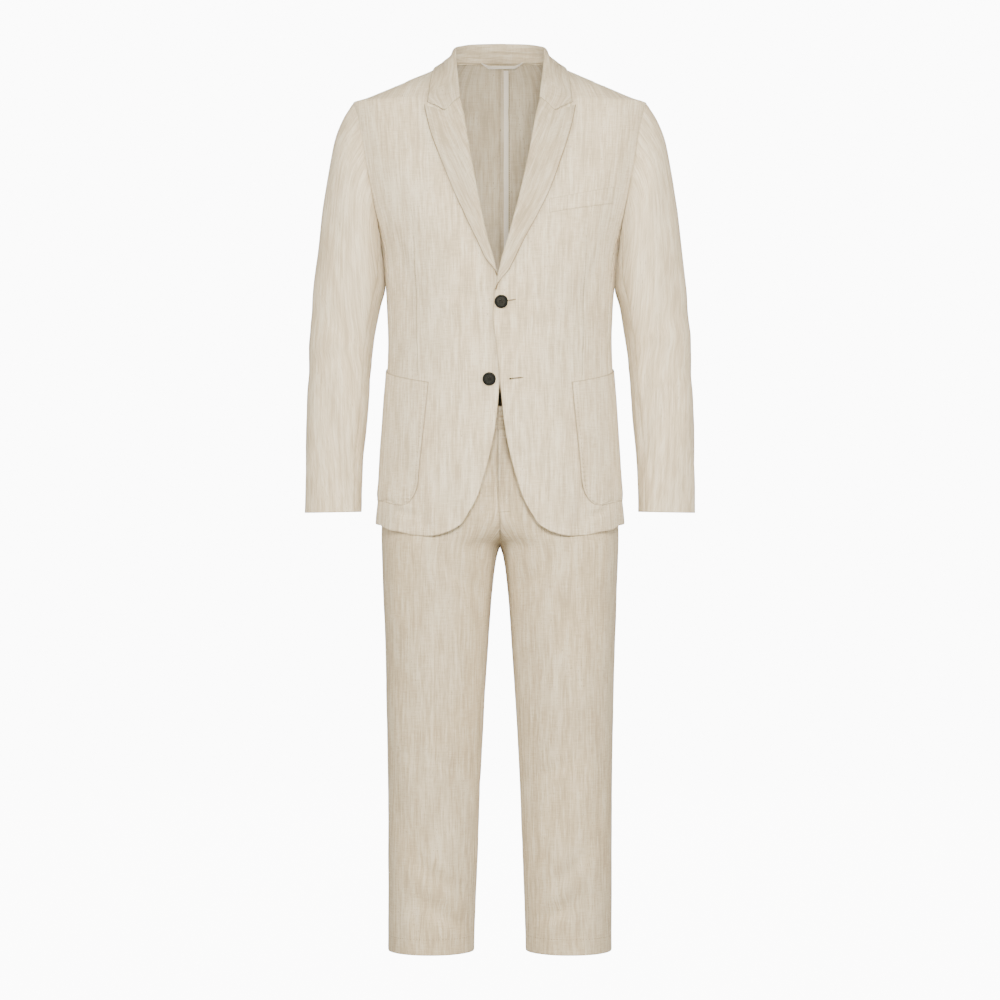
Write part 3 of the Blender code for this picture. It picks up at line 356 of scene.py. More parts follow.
@dataclass
class TorsoForm:
    """The jacket's body, with its armholes."""

    shoulder_z: float = -0.062
    armpit_z: float = -0.285
    armhole_front: float = 0.058
    armhole_back: float = 0.062
    armhole_fullness: float = 0.15

    def __post_init__(self) -> None:
        """Makes the tracks, then places the creases on the bare form."""
        self.half, self.front, self.back, self.power = tracks(TORSO)
        self.field: CreaseField | None = None
        self.field = CreaseField(TORSO_CREASES, self.locate)

    def locate(self, x: float, z: float, behind: bool) -> tuple[Array, Array]:
        """The form's point and outward direction at a place seen from the front."""
        turn = self.turn_at(z, abs(x), behind)
        base = self.point(z, turn)
        normal = unit(self.point(z, turn, 0.001) - base)
        side = Side.LEFT if x >= 0 else Side.RIGHT
        return mirrored(base, side), mirrored(normal, side)

    def width(self, z: Number, turn: Number) -> Array:
        """The half width, which rounds over softly behind the shoulder."""
        steps = ((-0.014, 1), (-0.007, 2), (0.0, 3), (0.007, 2), (0.014, 1))
        soft = sum(self.half(z + step) * share for step, share in steps) / 9
        return mix(self.half(z), soft, ease(-np.sin(turn) * 2.5))

    def point(self, z: Number, turn: Number, lift: Number = 0.0, side: Side = Side.LEFT) -> Array:
        """Points of the left half, creased as that side is.

        Args:
            z: Height.
            turn: 90 degrees, in radians, at the front, 0 at the side, -90 at the back.
            lift: How far the point stands off the form.
            side: The side whose creases apply.

        Returns:
            The points, with x of the left side.
        """
        half, n = self.width(z, turn), self.power(z)
        c, s = np.cos(turn), np.sin(turn)
        ahead = s >= 0
        depth = np.where(ahead, self.front(z), self.back(z))
        x, y = half * signed(c, 2 / n), -depth * signed(s, 2 / n)
        step = 0.002
        grow = (self.width(z + step, turn) - self.width(z - step, turn)) / (2 * step)
        rear, fore = (
            (track(z + step) - track(z - step)) / (2 * step) for track in (self.back, self.front)
        )
        swell = np.where(ahead, fore, rear)
        across, along = np.abs(x / half), np.abs(y / depth)
        normal = unit(
            points(
                np.sign(x) * across ** (n - 1) / half,
                np.sign(y) * along ** (n - 1) / depth,
                -(across**n) * grow / half - (along**n) * swell / depth,
            )
        )
        base = points(x, y, z)
        lift = lift - fold_depth(TORSO_FOLDS, x, z) * np.where(s > 0, ease(s * 4), 0.0)
        if self.field is not None:
            real = mirrored(base, side)
            lift = lift - self.field.depth(real) + 0.0005 * rumple(real, 0.055, 3.0)
            lift = lift + 0.00022 * rumple(real, 0.019, 8.0)
        return base + normal * np.asarray(lift)[..., None]

    def flat(self, z: Number, turn: Number, behind: bool = False) -> Array:
        """Flat coordinates whose warp hangs upright, measured round the body from the centre.

        Args:
            z: Height.
            turn: The turn on the form.
            behind: True to start from the centre of the back.

        Returns:
            The way round and the height at each point.
        """
        turn = -turn if behind else turn
        near, far = (self.back(z), self.front(z)) if behind else (self.front(z), self.back(z))
        half, n = self.half(z), self.power(z)
        x, y = half * signed(np.cos(turn), 2 / n), np.abs(signed(np.sin(turn), 2 / n))
        round_off = np.where(np.sin(turn) >= 0, x + near * (1 - y), 2 * half - x + near + far * y)
        return np.stack(np.broadcast_arrays(round_off, z), axis=-1)

    def turn_at(self, z: Number, x: Number, behind: Number = False) -> Array:
        """The turn at which the form is x from the centre plane."""
        turn = np.arccos(np.clip(signed(x / self.half(z), self.power(z) / 2), -1.0, 1.0))
        return np.where(behind, -turn, turn)

    def turn_at_depth(self, z: Number, y: Number) -> Array:
        """The turn at which the form's left side reaches that y."""
        depth = np.where(np.asarray(y) < 0, self.front(z), self.back(z))
        turn = np.arcsin(np.minimum(np.abs(y / depth) ** (self.power(z) / 2), 1.0))
        return np.where(np.asarray(y) < 0, turn, -turn)

    def armhole(self, degrees: Number) -> tuple[Array, Array]:
        """Height and y of the armhole: 0 at the shoulder, 90 at the front, 180 under the arm."""
        turn = np.radians(degrees)
        middle, tall = (self.shoulder_z + self.armpit_z) / 2, (self.shoulder_z - self.armpit_z) / 2
        wide = np.where(np.sin(turn) > 0, self.armhole_front, self.armhole_back)
        return (
            middle + tall * np.cos(turn),
            -wide * np.sin(turn) * (1 - self.armhole_fullness * np.cos(turn)),
        )

    def armhole_turn(self, degrees: Number) -> tuple[Array, Array]:
        """Height and turn of the armhole on the form."""
        z, y = self.armhole(degrees)
        y = np.where(np.abs(y) < SEAM / 2, np.where(y < 0, -SEAM / 2, SEAM / 2), y)
        return z, self.turn_at_depth(z, y)


# The left front's edge, z and x, from the round corner at the hem up to the lapel's roll
FRONT_EDGE = [
    (-0.7105, 0.0566),
    (-0.6885, 0.0419),
    (-0.6502, 0.0274),
    (-0.6135, 0.0173),
    (-0.5780, 0.0090),
    (-0.5400, 0.0042),
    (-0.5015, 0.0004),
    (-0.4375, -0.0063),
    (-0.4135, -0.0097),
    (-0.3838, -0.0121),
    (-0.3602, -0.0072),
    (-0.3157, 0.0035),
    (-0.2691, 0.0177),
    (-0.1496, 0.0464),
    (-0.0861, 0.0580),
    (-0.0640, 0.0635),
]
# The front's hem: share of the way from the round corner to the side seam, and its drop
HEM_DROP = [
    (0.00, 0.0000),
    (0.04, 0.0054),
    (0.12, 0.0128),
    (0.27, 0.0185),
    (0.45, 0.0170),
    (0.62, 0.0115),
    (0.80, 0.0075),
    (1.00, 0.0000),
]
# The left lapel's outer edge, z and x
LAPEL_EDGE = [
    (-0.3600, -0.0036),
    (-0.3371, 0.0097),
    (-0.3157, 0.0208),
    (-0.2887, 0.0338),
    (-0.2476, 0.0555),
    (-0.2081, 0.0749),
    (-0.1643, 0.0909),
    (-0.1197, 0.1053),
    (-0.0967, 0.1110),
    (-0.0735, 0.1155),
]
# Across the lapel: step number, share of the width, sideways step, height over the front
LAPEL_ROLL = [
    (0, 0.00, -0.0010, 0.0006),
    (1, 0.00, -0.0022, 0.0020),
    (2, 0.08, -0.0010, 0.0040),
    (3, 0.22, 0.0, 0.0042),
    (4, 0.39, 0.0, 0.0034),
    (5, 0.60, 0.0, 0.0026),
    (6, 0.80, 0.0, 0.0021),
    (7, 1.00, 0.0, 0.0018),
]
# The collar, by its place from the centre of the back (0) to the gorge (5): height and x of the
# neck seam, x, y and z of the fold, height and x of the fall's edge, lip and radius of the fold
COLLAR = [
    (0.0, 0.0080, 0.0000, 0.0000, 0.0600, 0.0400, -0.0040, 0.0000, 0.40, 0.0026),
    (1.0, 0.0062, 0.0480, 0.0430, 0.0435, 0.0365, -0.0060, 0.0620, 0.40, 0.0026),
    (1.5, 0.0034, 0.0660, 0.0585, 0.0255, 0.0318, -0.0068, 0.0850, 0.39, 0.0025),
    (2.0, 0.0004, 0.0785, 0.0680, 0.0040, 0.0258, -0.0076, 0.0982, 0.38, 0.0025),
    (3.0, -0.0200, 0.0752, 0.0662, -0.0360, -0.0090, -0.0440, 0.1073, 0.36, 0.0023),
    (4.0, -0.0450, 0.0705, 0.0618, -0.0705, -0.0470, -0.0610, 0.1095, 0.36, 0.0020),
    (5.0, -0.0630, 0.0680, 0.0603, -0.0815, -0.0630, -0.0704, 0.1103, 0.36, 0.0018),
]
# The sleeve, by its way down: x and z of its outer line, x and z under the arm, reach in y
SLEEVE = [
    (0.00, 0.2280, -0.0620, 0.1851, -0.2850, -0.0580, 0.0620),
    (0.07, 0.2434, -0.0868, 0.1826, -0.2970, -0.0630, 0.0655),
    (0.14, 0.2556, -0.1178, 0.1795, -0.3110, -0.0660, 0.0670),
    (0.21, 0.2648, -0.1643, 0.1776, -0.3280, -0.0675, 0.0670),
    (0.29, 0.2725, -0.2108, 0.1775, -0.3480, -0.0670, 0.0655),
    (0.38, 0.2817, -0.2728, 0.1848, -0.3780, -0.0655, 0.0625),
    (0.49, 0.2895, -0.3500, 0.1918, -0.4180, -0.0635, 0.0565),
    (0.60, 0.2953, -0.4300, 0.1988, -0.4680, -0.0620, 0.0480),
    (0.73, 0.2984, -0.5208, 0.2040, -0.5400, -0.0615, 0.0365),
    (0.87, 0.3004, -0.6100, 0.2098, -0.6170, -0.0600, 0.0250),
    (1.00, 0.3010, -0.6960, 0.2130, -0.6945, -0.0580, 0.0170),
]
SLEEVE_FOLDS = [
    Fold(0.250, -0.400, 20.0, 0.045, 0.018, 0.0030),
    Fold(0.262, -0.470, 160.0, 0.050, 0.018, 0.0028),
    Fold(0.240, -0.560, 65.0, 0.060, 0.017, 0.0024),
    Fold(0.228, -0.630, 75.0, 0.050, 0.014, 0.0026),
    Fold(0.275, -0.300, 80.0, 0.070, 0.020, 0.0022),
]
SLEEVE_CREASES = [
    Crease(0.214, -0.300, 52, 0.036, 0.009, 0.0014, 0.004),
    Crease(-0.213, -0.306, 130, 0.038, 0.009, 0.0013, -0.004),
    Crease(0.222, -0.340, 60, 0.040, 0.009, 0.0013, 0.003),
    Crease(-0.224, -0.352, 118, 0.036, 0.010, 0.0012, -0.004),
    Crease(0.252, -0.205, 78, 0.060, 0.014, 0.0009, 0.005),
    Crease(-0.256, -0.196, 104, 0.056, 0.013, 0.0008, -0.004),
    Crease(0.226, -0.420, 24, 0.030, 0.008, 0.0015, 0.004),
    Crease(-0.224, -0.428, 154, 0.032, 0.009, 0.0014, 0.003),
    Crease(0.246, -0.446, 164, 0.034, 0.009, 0.0010, -0.003),
    Crease(-0.250, -0.456, 18, 0.036, 0.009, 0.0010, 0.003),
    Crease(0.222, -0.505, 72, 0.036, 0.007, 0.0016, 0.004),
    Crease(-0.223, -0.498, 110, 0.040, 0.007, 0.0015, -0.004),
    Crease(0.224, -0.592, 68, 0.042, 0.007, 0.0018, 0.005),
    Crease(-0.225, -0.600, 111, 0.040, 0.007, 0.0018, -0.005),
    Crease(0.233, -0.634, 80, 0.034, 0.006, 0.0012, 0.003),
    Crease(-0.232, -0.640, 99, 0.034, 0.006, 0.0012, -0.003),
    Crease(0.270, -0.560, 97, 0.060, 0.012, 0.0008, 0.004),
    Crease(-0.268, -0.545, 84, 0.058, 0.012, 0.0008, -0.004),
    Crease(0.250, -0.470, 20, 0.040, 0.011, 0.0018, 0.004, 0.5, True),
    Crease(-0.252, -0.480, 160, 0.042, 0.011, 0.0018, 0.004, 0.5, True),
    Crease(0.236, -0.430, 158, 0.036, 0.010, 0.0015, 0.003, 0.5, True),
    Crease(-0.238, -0.438, 24, 0.034, 0.010, 0.0015, 0.003, 0.5, True),
    Crease(0.230, -0.300, 60, 0.050, 0.012, 0.0014, 0.005, 0.5, True),
    Crease(-0.228, -0.310, 122, 0.048, 0.012, 0.0014, -0.005, 0.5, True),
    Crease(0.262, -0.600, 84, 0.060, 0.011, 0.0012, 0.004, 0.5, True),
    Crease(-0.260, -0.590, 98, 0.056, 0.011, 0.0012, -0.004, 0.5, True),
]


@dataclass
class SleeveForm:
    """One sleeve, set into the armhole."""

    torso: TorsoForm
    roundness: float = 2.12
    cap_blend: float = 0.21

    def __post_init__(self) -> None:
        """Makes the tracks, then places the creases on the bare form."""
        self.tracks = tracks(SLEEVE)
        self.field: CreaseField | None = None
        self.field = CreaseField(SLEEVE_CREASES, self.locate)

    def locate(self, x: float, z: float, behind: bool) -> tuple[Array, Array]:
        """The nearest point of the form, seen from the front, and its outward direction."""
        t, turn = np.meshgrid(np.linspace(0.0, 1.0, 101), np.linspace(4, 176, 87), indexing="ij")
        turn = turn + 180 if behind else turn
        places = self.point(t, turn)
        away = (places[..., 0] - abs(x)) ** 2 + (places[..., 2] - z) ** 2
        at = np.unravel_index(np.argmin(away), away.shape)
        middle = places[at]
        axis = (places[at[0]].max(axis=0) + places[at[0]].min(axis=0)) / 2
        normal = unit((middle - axis) * np.array([1.0, 1.0, 0.0]))
        side = Side.LEFT if x >= 0 else Side.RIGHT
        return mirrored(middle, side), mirrored(normal, side)

    def ring(self, values: Sequence[Array], turn: Array) -> Array:
        """Points of a ring given by one row's values."""
        top_x, top_z, under_x, under_z, front, back = values
        c, s = (signed(part, 2 / self.roundness) for part in (np.cos(turn), np.sin(turn)))
        out, ahead = (1 + c) / 2, (1 + s) / 2
        return points(mix(under_x, top_x, out), mix(back, front, ahead), mix(under_z, top_z, out))

    def point(self, t: Number, degrees: Number, side: Side = Side.LEFT) -> Array:
        """Points of the left sleeve, creased as that side is.

        Args:
            t: The way down, from 0 at the armhole to 1 at the cuff.
            degrees: 0 outside, 90 at the front, 180 under the arm, 270 behind.
            side: The side whose creases apply.

        Returns:
            The points, with x of the left side.
        """
        t, degrees = np.broadcast_arrays(np.asarray(t, float), np.asarray(degrees, float))
        turn = np.radians(degrees)
        values = [track(t) for track in self.tracks]
        ring = self.ring(values, turn)
        z, arm_turn = self.torso.armhole_turn(np.where(degrees % 180 == 0, degrees + 0.01, degrees))
        loop = self.torso.point(z, arm_turn, 0.0, side) + np.array([SEAM / 4, 0.0, 0.0])
        start = self.ring([track(np.zeros_like(t)) for track in self.tracks], turn)
        ring = ring + (loop - start) * (1 - ease(t / self.cap_blend))[..., None]
        top_x, _, under_x, _, front, back = values
        inward = unit(points((top_x + under_x) / 2, (front + back) / 2, ring[..., 2]) - ring)
        depth = fold_depth(SLEEVE_FOLDS, ring[..., 0], ring[..., 2])
        if self.field is not None:
            real = mirrored(ring, side)
            depth = depth + self.field.depth(real) + 0.0006 * rumple(real, 0.047, 5.0)
            depth = depth + 0.00022 * rumple(real, 0.017, 9.0)
        return ring + inward * (depth * ease((t - self.cap_blend) / 0.15))[..., None]


# The leg: z, outer side, inner side, reach in front and behind. The inner side is below zero above
# the crotch, where the two legs run together.
LEG = [
    (-1.4200, 0.1729, 0.0405, 0.070, 0.076),
    (-1.3655, 0.1729, 0.0395, 0.071, 0.077),
    (-1.2338, 0.1731, 0.0349, 0.074, 0.080),
    (-1.1098, 0.1736, 0.0302, 0.079, 0.085),
    (-0.9858, 0.1760, 0.0240, 0.088, 0.092),
    (-0.8928, 0.1778, 0.0178, 0.095, 0.099),
    (-0.8308, 0.1805, 0.0132, 0.100, 0.106),
    (-0.7998, 0.1816, 0.0101, 0.103, 0.110),
    (-0.7688, 0.1826, 0.0058, 0.106, 0.114),
    (-0.7475, 0.1832, 0.0006, 0.108, 0.116),
    (-0.7270, 0.1835, -0.0330, 0.110, 0.118),
    (-0.7000, 0.1825, -0.0860, 0.111, 0.117),
    (-0.6500, 0.1775, -0.1400, 0.110, 0.110),
    (-0.6000, 0.1700, -0.1620, 0.106, 0.099),
    (-0.5650, 0.1640, -0.1640, 0.102, 0.090),
    (-0.5270, 0.1600, -0.1600, 0.098, 0.084),
]
LEG_FOLDS = [
    Fold(0.100, -1.300, 15.0, 0.050, 0.022, 0.0036),
    Fold(0.128, -1.215, 70.0, 0.080, 0.020, 0.0030),
    Fold(0.070, -1.120, 110.0, 0.090, 0.022, 0.0030),
    Fold(0.110, -1.020, 80.0, 0.110, 0.024, 0.0028),
    Fold(0.075, -0.900, 65.0, 0.090, 0.024, 0.0034),
    Fold(0.045, -0.800, 50.0, 0.070, 0.020, 0.0040),
    Fold(0.140, -0.860, 95.0, 0.120, 0.026, 0.0026),
    Fold(0.060, -1.330, 85.0, 0.060, 0.016, 0.0030),
]
LEG_CREASES = [
    # From the crotch across the thighs
    Crease(0.026, -0.762, 38, 0.030, 0.008, 0.0013, 0.004),
    Crease(-0.028, -0.768, 140, 0.032, 0.008, 0.0013, -0.004),
    Crease(0.052, -0.790, 30, 0.044, 0.010, 0.0010, 0.005),
    Crease(-0.056, -0.800, 148, 0.046, 0.010, 0.0010, -0.005),
    Crease(0.036, -0.838, 54, 0.050, 0.010, 0.0010, 0.005),
    Crease(-0.034, -0.830, 122, 0.046, 0.010, 0.0010, -0.005),
    Crease(0.140, -0.800, 100, 0.060, 0.016, 0.0008, 0.005),
    Crease(-0.138, -0.812, 82, 0.064, 0.016, 0.0008, -0.005),
    # The thigh and knee
    Crease(0.098, -0.930, 78, 0.080, 0.016, 0.0010, 0.007),
    Crease(-0.094, -0.945, 101, 0.085, 0.016, 0.0010, -0.007),
    Crease(0.060, -1.000, 60, 0.044, 0.011, 0.0010, 0.005),
    Crease(-0.063, -1.012, 124, 0.042, 0.011, 0.0010, -0.005),
    Crease(0.088, -1.085, 22, 0.038, 0.009, 0.0009, 0.004),
    Crease(-0.090, -1.078, 160, 0.040, 0.009, 0.0009, 0.003),
    Crease(0.124, -1.060, 84, 0.070, 0.014, 0.0008, 0.004),
    Crease(-0.126, -1.075, 97, 0.066, 0.014, 0.0008, -0.004),
    # The shin: long slanting folds, as just above the hems
    Crease(0.076, -1.176, 68, 0.060, 0.010, 0.0012, 0.006),
    Crease(-0.078, -1.184, 113, 0.058, 0.010, 0.0012, -0.006),
    Crease(0.104, -1.244, 40, 0.044, 0.010, 0.0013, 0.005),
    Crease(-0.100, -1.250, 142, 0.046, 0.010, 0.0013, -0.005),
    Crease(0.064, -1.262, 62, 0.040, 0.008, 0.0012, 0.004),
    Crease(-0.062, -1.256, 118, 0.038, 0.008, 0.0012, -0.004),
    Crease(0.096, -1.302, 28, 0.042, 0.010, 0.0014, 0.004),
    Crease(-0.094, -1.308, 150, 0.044, 0.010, 0.0014, -0.004),
    Crease(0.128, -1.320, 78, 0.036, 0.009, 0.0011, 0.004),
    Crease(-0.130, -1.316, 101, 0.036, 0.009, 0.0011, -0.004),
    # The seat and the back of the legs
    Crease(0.060, -0.780, 24, 0.060, 0.013, 0.0020, 0.006, 0.5, True),
    Crease(-0.064, -0.790, 156, 0.062, 0.013, 0.0020, -0.006, 0.5, True),
    Crease(0.050, -0.830, 38, 0.056, 0.012, 0.0016, 0.006, 0.5, True),
    Crease(-0.048, -0.840, 142, 0.052, 0.012, 0.0016, -0.006, 0.5, True),
    Crease(0.110, -0.900, 80, 0.080, 0.015, 0.0014, 0.006, 0.5, True),
    Crease(-0.106, -0.915, 98, 0.084, 0.015, 0.0014, -0.006, 0.5, True),
    Crease(0.090, -1.040, 12, 0.048, 0.011, 0.0022, 0.005, 0.5, True),
    Crease(-0.092, -1.050, 166, 0.046, 0.011, 0.0022, 0.004, 0.5, True),
    Crease(0.100, -1.075, 168, 0.044, 0.010, 0.0018, -0.004, 0.5, True),
    Crease(-0.096, -1.085, 14, 0.046, 0.010, 0.0018, 0.004, 0.5, True),
    Crease(0.086, -1.200, 76, 0.070, 0.012, 0.0014, 0.005, 0.5, True),
    Crease(-0.088, -1.190, 103, 0.072, 0.012, 0.0014, -0.005, 0.5, True),
    Crease(0.112, -1.300, 30, 0.044, 0.011, 0.0016, 0.004, 0.5, True),
    Crease(-0.110, -1.306, 148, 0.042, 0.011, 0.0016, -0.004, 0.5, True),
]


@dataclass
class LegForm:
    """One trouser leg, run together with the other above the crotch."""

    roundness: float = 2.15
    crotch_z: float = -0.7475
    fly_x: float = -0.0032

    def __post_init__(self) -> None:
        """Makes the tracks, then places the creases on the bare form."""
        self.out, self.inner, self.front, self.back = tracks(LEG)
        self.field: CreaseField | None = None
        self.field = CreaseField(LEG_CREASES, self.locate)

    def locate(self, x: float, z: float, behind: bool) -> tuple[Array, Array]:
        """The form's point and outward direction at a place seen from the front."""
        share = np.linspace(0.0, 1.0, 181)
        places = self.point(z, share, not behind)
        at = int(np.argmin(np.abs(places[:, 0] - abs(x))))
        normal = unit(self.point(z, share, not behind, 0.001)[at] - places[at])
        side = Side.LEFT if x >= 0 else Side.RIGHT
        return mirrored(places[at], side), mirrored(normal, side)

    def point(
        self, z: Number, share: Number, ahead: bool, lift: Number = 0.0, side: Side = Side.LEFT
    ) -> Array:
        """Points of the left leg, creased as that side is.

        Args:
            z: Height.
            share: 0 at the centre seam or inseam, 1 at the side seam.
            ahead: True for the front half.
            lift: How far the point stands off the form.
            side: The side whose creases apply.

        Returns:
            The points, with x of the left side.
        """
        z, share = np.broadcast_arrays(np.asarray(z, float), np.asarray(share, float))
        out, inner = self.out(z), self.inner(z)
        centre, half = (out + inner) / 2, (out - inner) / 2
        turn = np.pi * share
        across = (1 - signed(np.cos(turn), 2 / self.roundness)) / 2
        level = np.clip(signed((centre - out * across) / half, self.roundness / 2), -1.0, 1.0)
        turn = np.where(z > self.crotch_z, np.arccos(level), turn)
        depth = -self.front(z) if ahead else self.back(z)
        x = centre - half * signed(np.cos(turn), 2 / self.roundness)
        y = depth * signed(np.sin(turn), 2 / self.roundness)
        normal = unit(points(-np.cos(turn) / half, np.sin(turn) / depth, 0.0))
        if ahead:
            press = fold_depth(LEG_FOLDS, x, z)
        else:
            press = fold_depth(LEG_FOLDS, 0.21 - x, z - 0.03)
        lift = lift - press * np.sin(turn) ** 2
        base = points(x, y, z)
        if self.field is not None:
            real = mirrored(base, side)
            calm = ease(x / 0.03 + 0.15)
            lift = lift - self.field.depth(real) * calm + 0.0006 * calm * rumple(real, 0.051, 6.0)
            lift = lift + 0.00022 * calm * rumple(real, 0.018, 7.0)
        return base + normal * np.asarray(lift)[..., None]

    def fly_shift(self, z: Number) -> Array:
        """How far the fly's edge lies to the wearer's right."""
        return self.fly_x * ease((z - self.crotch_z - 0.03) / 0.06)


# Materials


@dataclass
class Socket:
    """One output of a node, in expressions that add Math nodes."""

    shader: "Shader"
    link: bpy.types.NodeSocket

    def _with(self, operation: str, a: "Socket | float", b: "Socket | float") -> "Socket":
        """A Math node on two values."""
        return self.shader.node("ShaderNodeMath", {"operation": operation}, {0: a, 1: b})

    def __add__(self, other: "Socket | float") -> "Socket":
        """self + other."""
        return self._with("ADD", self, other)

    __radd__ = __add__

    def __sub__(self, other: "Socket | float") -> "Socket":
        """self - other."""
        return self._with("SUBTRACT", self, other)

    def __rsub__(self, other: "Socket | float") -> "Socket":
        """other - self."""
        return self._with("SUBTRACT", other, self)

    def __mul__(self, other: "Socket | float") -> "Socket":
        """self * other."""
        return self._with("MULTIPLY", self, other)

    __rmul__ = __mul__


class Shader:
    """A new material and its Principled BSDF."""

    def __init__(self, name: str, colour: Colour, roughness: float) -> None:
        """Starts the material.

        Args:
            name: The material's name.
            colour: Its colour in the viewport and before any pattern.
            roughness: Its even roughness.
        """
        self.material = bpy.data.materials.new(name)
        self.material.use_nodes = True
        self.material.diffuse_color = (*colour, 1.0)
        self.tree = self.material.node_tree
        self.surface = self.tree.nodes["Principled BSDF"]
        self.set("Base Color", (*colour, 1.0))
        self.set("Roughness", roughness)

    def node(
        self,
        kind: str,
        settings: dict[str, object],
        inputs: dict[str | int, object],
        output: str | int = 0,
    ) -> Socket:
        """Adds a node.

        Args:
            kind: The node's type.
            settings: Its own settings, set first.
            inputs: Values or sockets for its inputs.
            output: Which output to return.

        Returns:
            The output, ready for an expression.
        """
        made = self.tree.nodes.new(kind)
        for name, value in settings.items():
            setattr(made, name, value)
        for name, value in inputs.items():
            if isinstance(value, Socket):
                self.tree.links.new(value.link, made.inputs[name])
            else:
                made.inputs[name].default_value = value
        return Socket(self, made.outputs[output])

    def set(self, name: str, value: object) -> None:
        """Gives the surface a value or a pattern."""
        if isinstance(value, Socket):
            self.tree.links.new(value.link, self.surface.inputs[name])
        else:
            self.surface.inputs[name].default_value = value

    def cloth(self, scale: tuple[float, float], shift: tuple[float, float] = (0.0, 0.0)) -> Socket:
        """The piece's flat pattern in metres, stretched across and along the cloth."""
        flat = self.node("ShaderNodeUVMap", {"uv_map": "cut"}, {})
        return self.node(
            "ShaderNodeMapping",
            {},
            {"Vector": flat, "Location": (*shift, 0.0), "Scale": (*scale, 1.0)},
        )

    def noise(self, place: Socket, scale: float, detail: float, rough: float = 0.5) -> Socket:
        """Even noise from 0 to 1."""
        return self.node(
            "ShaderNodeTexNoise",
            {"noise_dimensions": "2D"},
            {"Vector": place, "Scale": scale, "Detail": detail, "Roughness": rough},
        )

    def ramp(self, value: Socket, low: float, high: float) -> Socket:
        """0 up to low, 1 from high, smooth between."""
        return self.node(
            "ShaderNodeMapRange",
            {"interpolation_type": "SMOOTHSTEP"},
            {"Value": value, "From Min": low, "From Max": high},
        )

    def blend(self, share: Socket | float, first: object, second: object) -> Socket:
        """A colour between two."""
        return self.node(
            "ShaderNodeMix",
            {"data_type": "RGBA"},
            {0: share, 6: self._colour(first), 7: self._colour(second)},
            2,
        )

    @staticmethod
    def _colour(value: object) -> object:
        """A colour with its fourth number."""
        return value if isinstance(value, Socket) else (*value, 1.0)


@dataclass(frozen=True)
class LinenFinish:
    """Slubbed linen: streaks along the warp, a fainter weft, knots, and a fine uneven weave.

    The colours are the cloth's middle, its pale threads, its dark threads and its warm patches. Along sewn
    and folded edges the colour darkens as painted shade.
    """

    name: str
    middle: Colour
    pale: Colour
    dark: Colour
    warm: Colour
    # Scales every colour; below 1 it gives a darker copy of the cloth, as painted shade
    tone: float = 1.0
    roughness: float = 0.88
    sheen: float = 0.12

    def material(self) -> bpy.types.Material:
        """Builds the material.

        Returns:
            The finished material.
        """
        colours = (self.middle, self.pale, self.dark, self.warm)
        middle, pale, dark, warm = (tuple(part * self.tone for part in colour) for colour in colours)
        shader = Shader(self.name, middle, self.roughness)
        thread = shader.noise(shader.cloth((1.0, 0.055)), 640.0, 3.0, 0.65)
        streak = shader.noise(shader.cloth((1.0, 0.09), (3.1, 1.7)), 180.0, 3.0, 0.6)
        broad = shader.noise(shader.cloth((1.0, 0.24), (7.7, 2.3)), 46.0, 2.0, 0.5)
        weft = shader.noise(shader.cloth((0.07, 1.0), (1.9, 5.3)), 600.0, 3.0, 0.65)
        cloud = shader.noise(shader.cloth((1.0, 0.6), (4.1, 9.2)), 9.0, 3.0, 0.55)
        tone = thread * 0.32 + streak * 0.32 + broad * 0.18 + weft * 0.18
        light, shade = shader.ramp(tone, 0.49, 0.60), 1 - shader.ramp(tone, 0.40, 0.51)
        colour = shader.blend(shader.ramp(cloud, 0.38, 0.62), middle, warm)
        colour = shader.blend(light, colour, pale)
        colour = shader.blend(shade, colour, dark)
        knot = shader.noise(shader.cloth((1.0, 0.42), (9.4, 3.3)), 520.0, 0.0)
        knot = shader.ramp(knot, 0.80, 0.86) * shader.ramp(broad, 0.52, 0.62)
        ink = tuple(part * 0.62 for part in dark)
        colour = shader.blend(knot * 0.7, colour, ink)
        # Painted shade: the colour turns dark brown along sewn and folded edges, where a pressed edge casts a
        # thin shadow.
        rim = shader.node("ShaderNodeAttribute", {"attribute_name": "rim"}, {}, "Fac")
        edge = tuple(part * share for part, share in zip(dark, (0.42, 0.36, 0.30)))
        shader.set("Base Color", shader.blend(rim, colour, edge))
        grain = shader.noise(shader.cloth((1.0, 0.22), (2.2, 6.1)), 1500.0, 1.0)
        cross = shader.noise(shader.cloth((0.22, 1.0), (5.2, 8.1)), 1500.0, 1.0)
        height = grain * 0.30 + cross * 0.25 + thread * 0.35 + streak * 0.25 + knot * 0.4
        shader.set(
            "Normal",
            shader.node("ShaderNodeBump", {}, {"Strength": 0.45, "Distance": 0.0005, "Height": height}),
        )
        shader.set("Sheen Weight", self.sheen)
        shader.set("Sheen Roughness", 0.55)
        shader.set("Specular IOR Level", 0.25)
        return shader.material


@dataclass(frozen=True)
class TapeFinish:
    """Smooth pale tape with a fine rib across it."""

    name: str = "pale_tape"
    colour: Colour = (0.80, 0.775, 0.765)
    rib: float = 700.0

    def material(self) -> bpy.types.Material:
        """Builds the material.

        Returns:
            The finished material.
        """
        shader = Shader(self.name, self.colour, 0.75)
        rib = shader.noise(shader.cloth((0.1, 1.0)), self.rib, 1.0)
        soil = shader.noise(shader.cloth((1.0, 1.0), (3.0, 1.0)), 60.0, 3.0)
        dull = tuple(part * 0.86 for part in self.colour)
        shader.set("Base Color", shader.blend(rib * 0.5 + soil * 0.3, self.colour, dull))
        shader.set(
            "Normal",
            shader.node("ShaderNodeBump", {}, {"Strength": 0.4, "Distance": 0.0003, "Height": rib}),
        )
        shader.set("Sheen Weight", 0.2)
        return shader.material


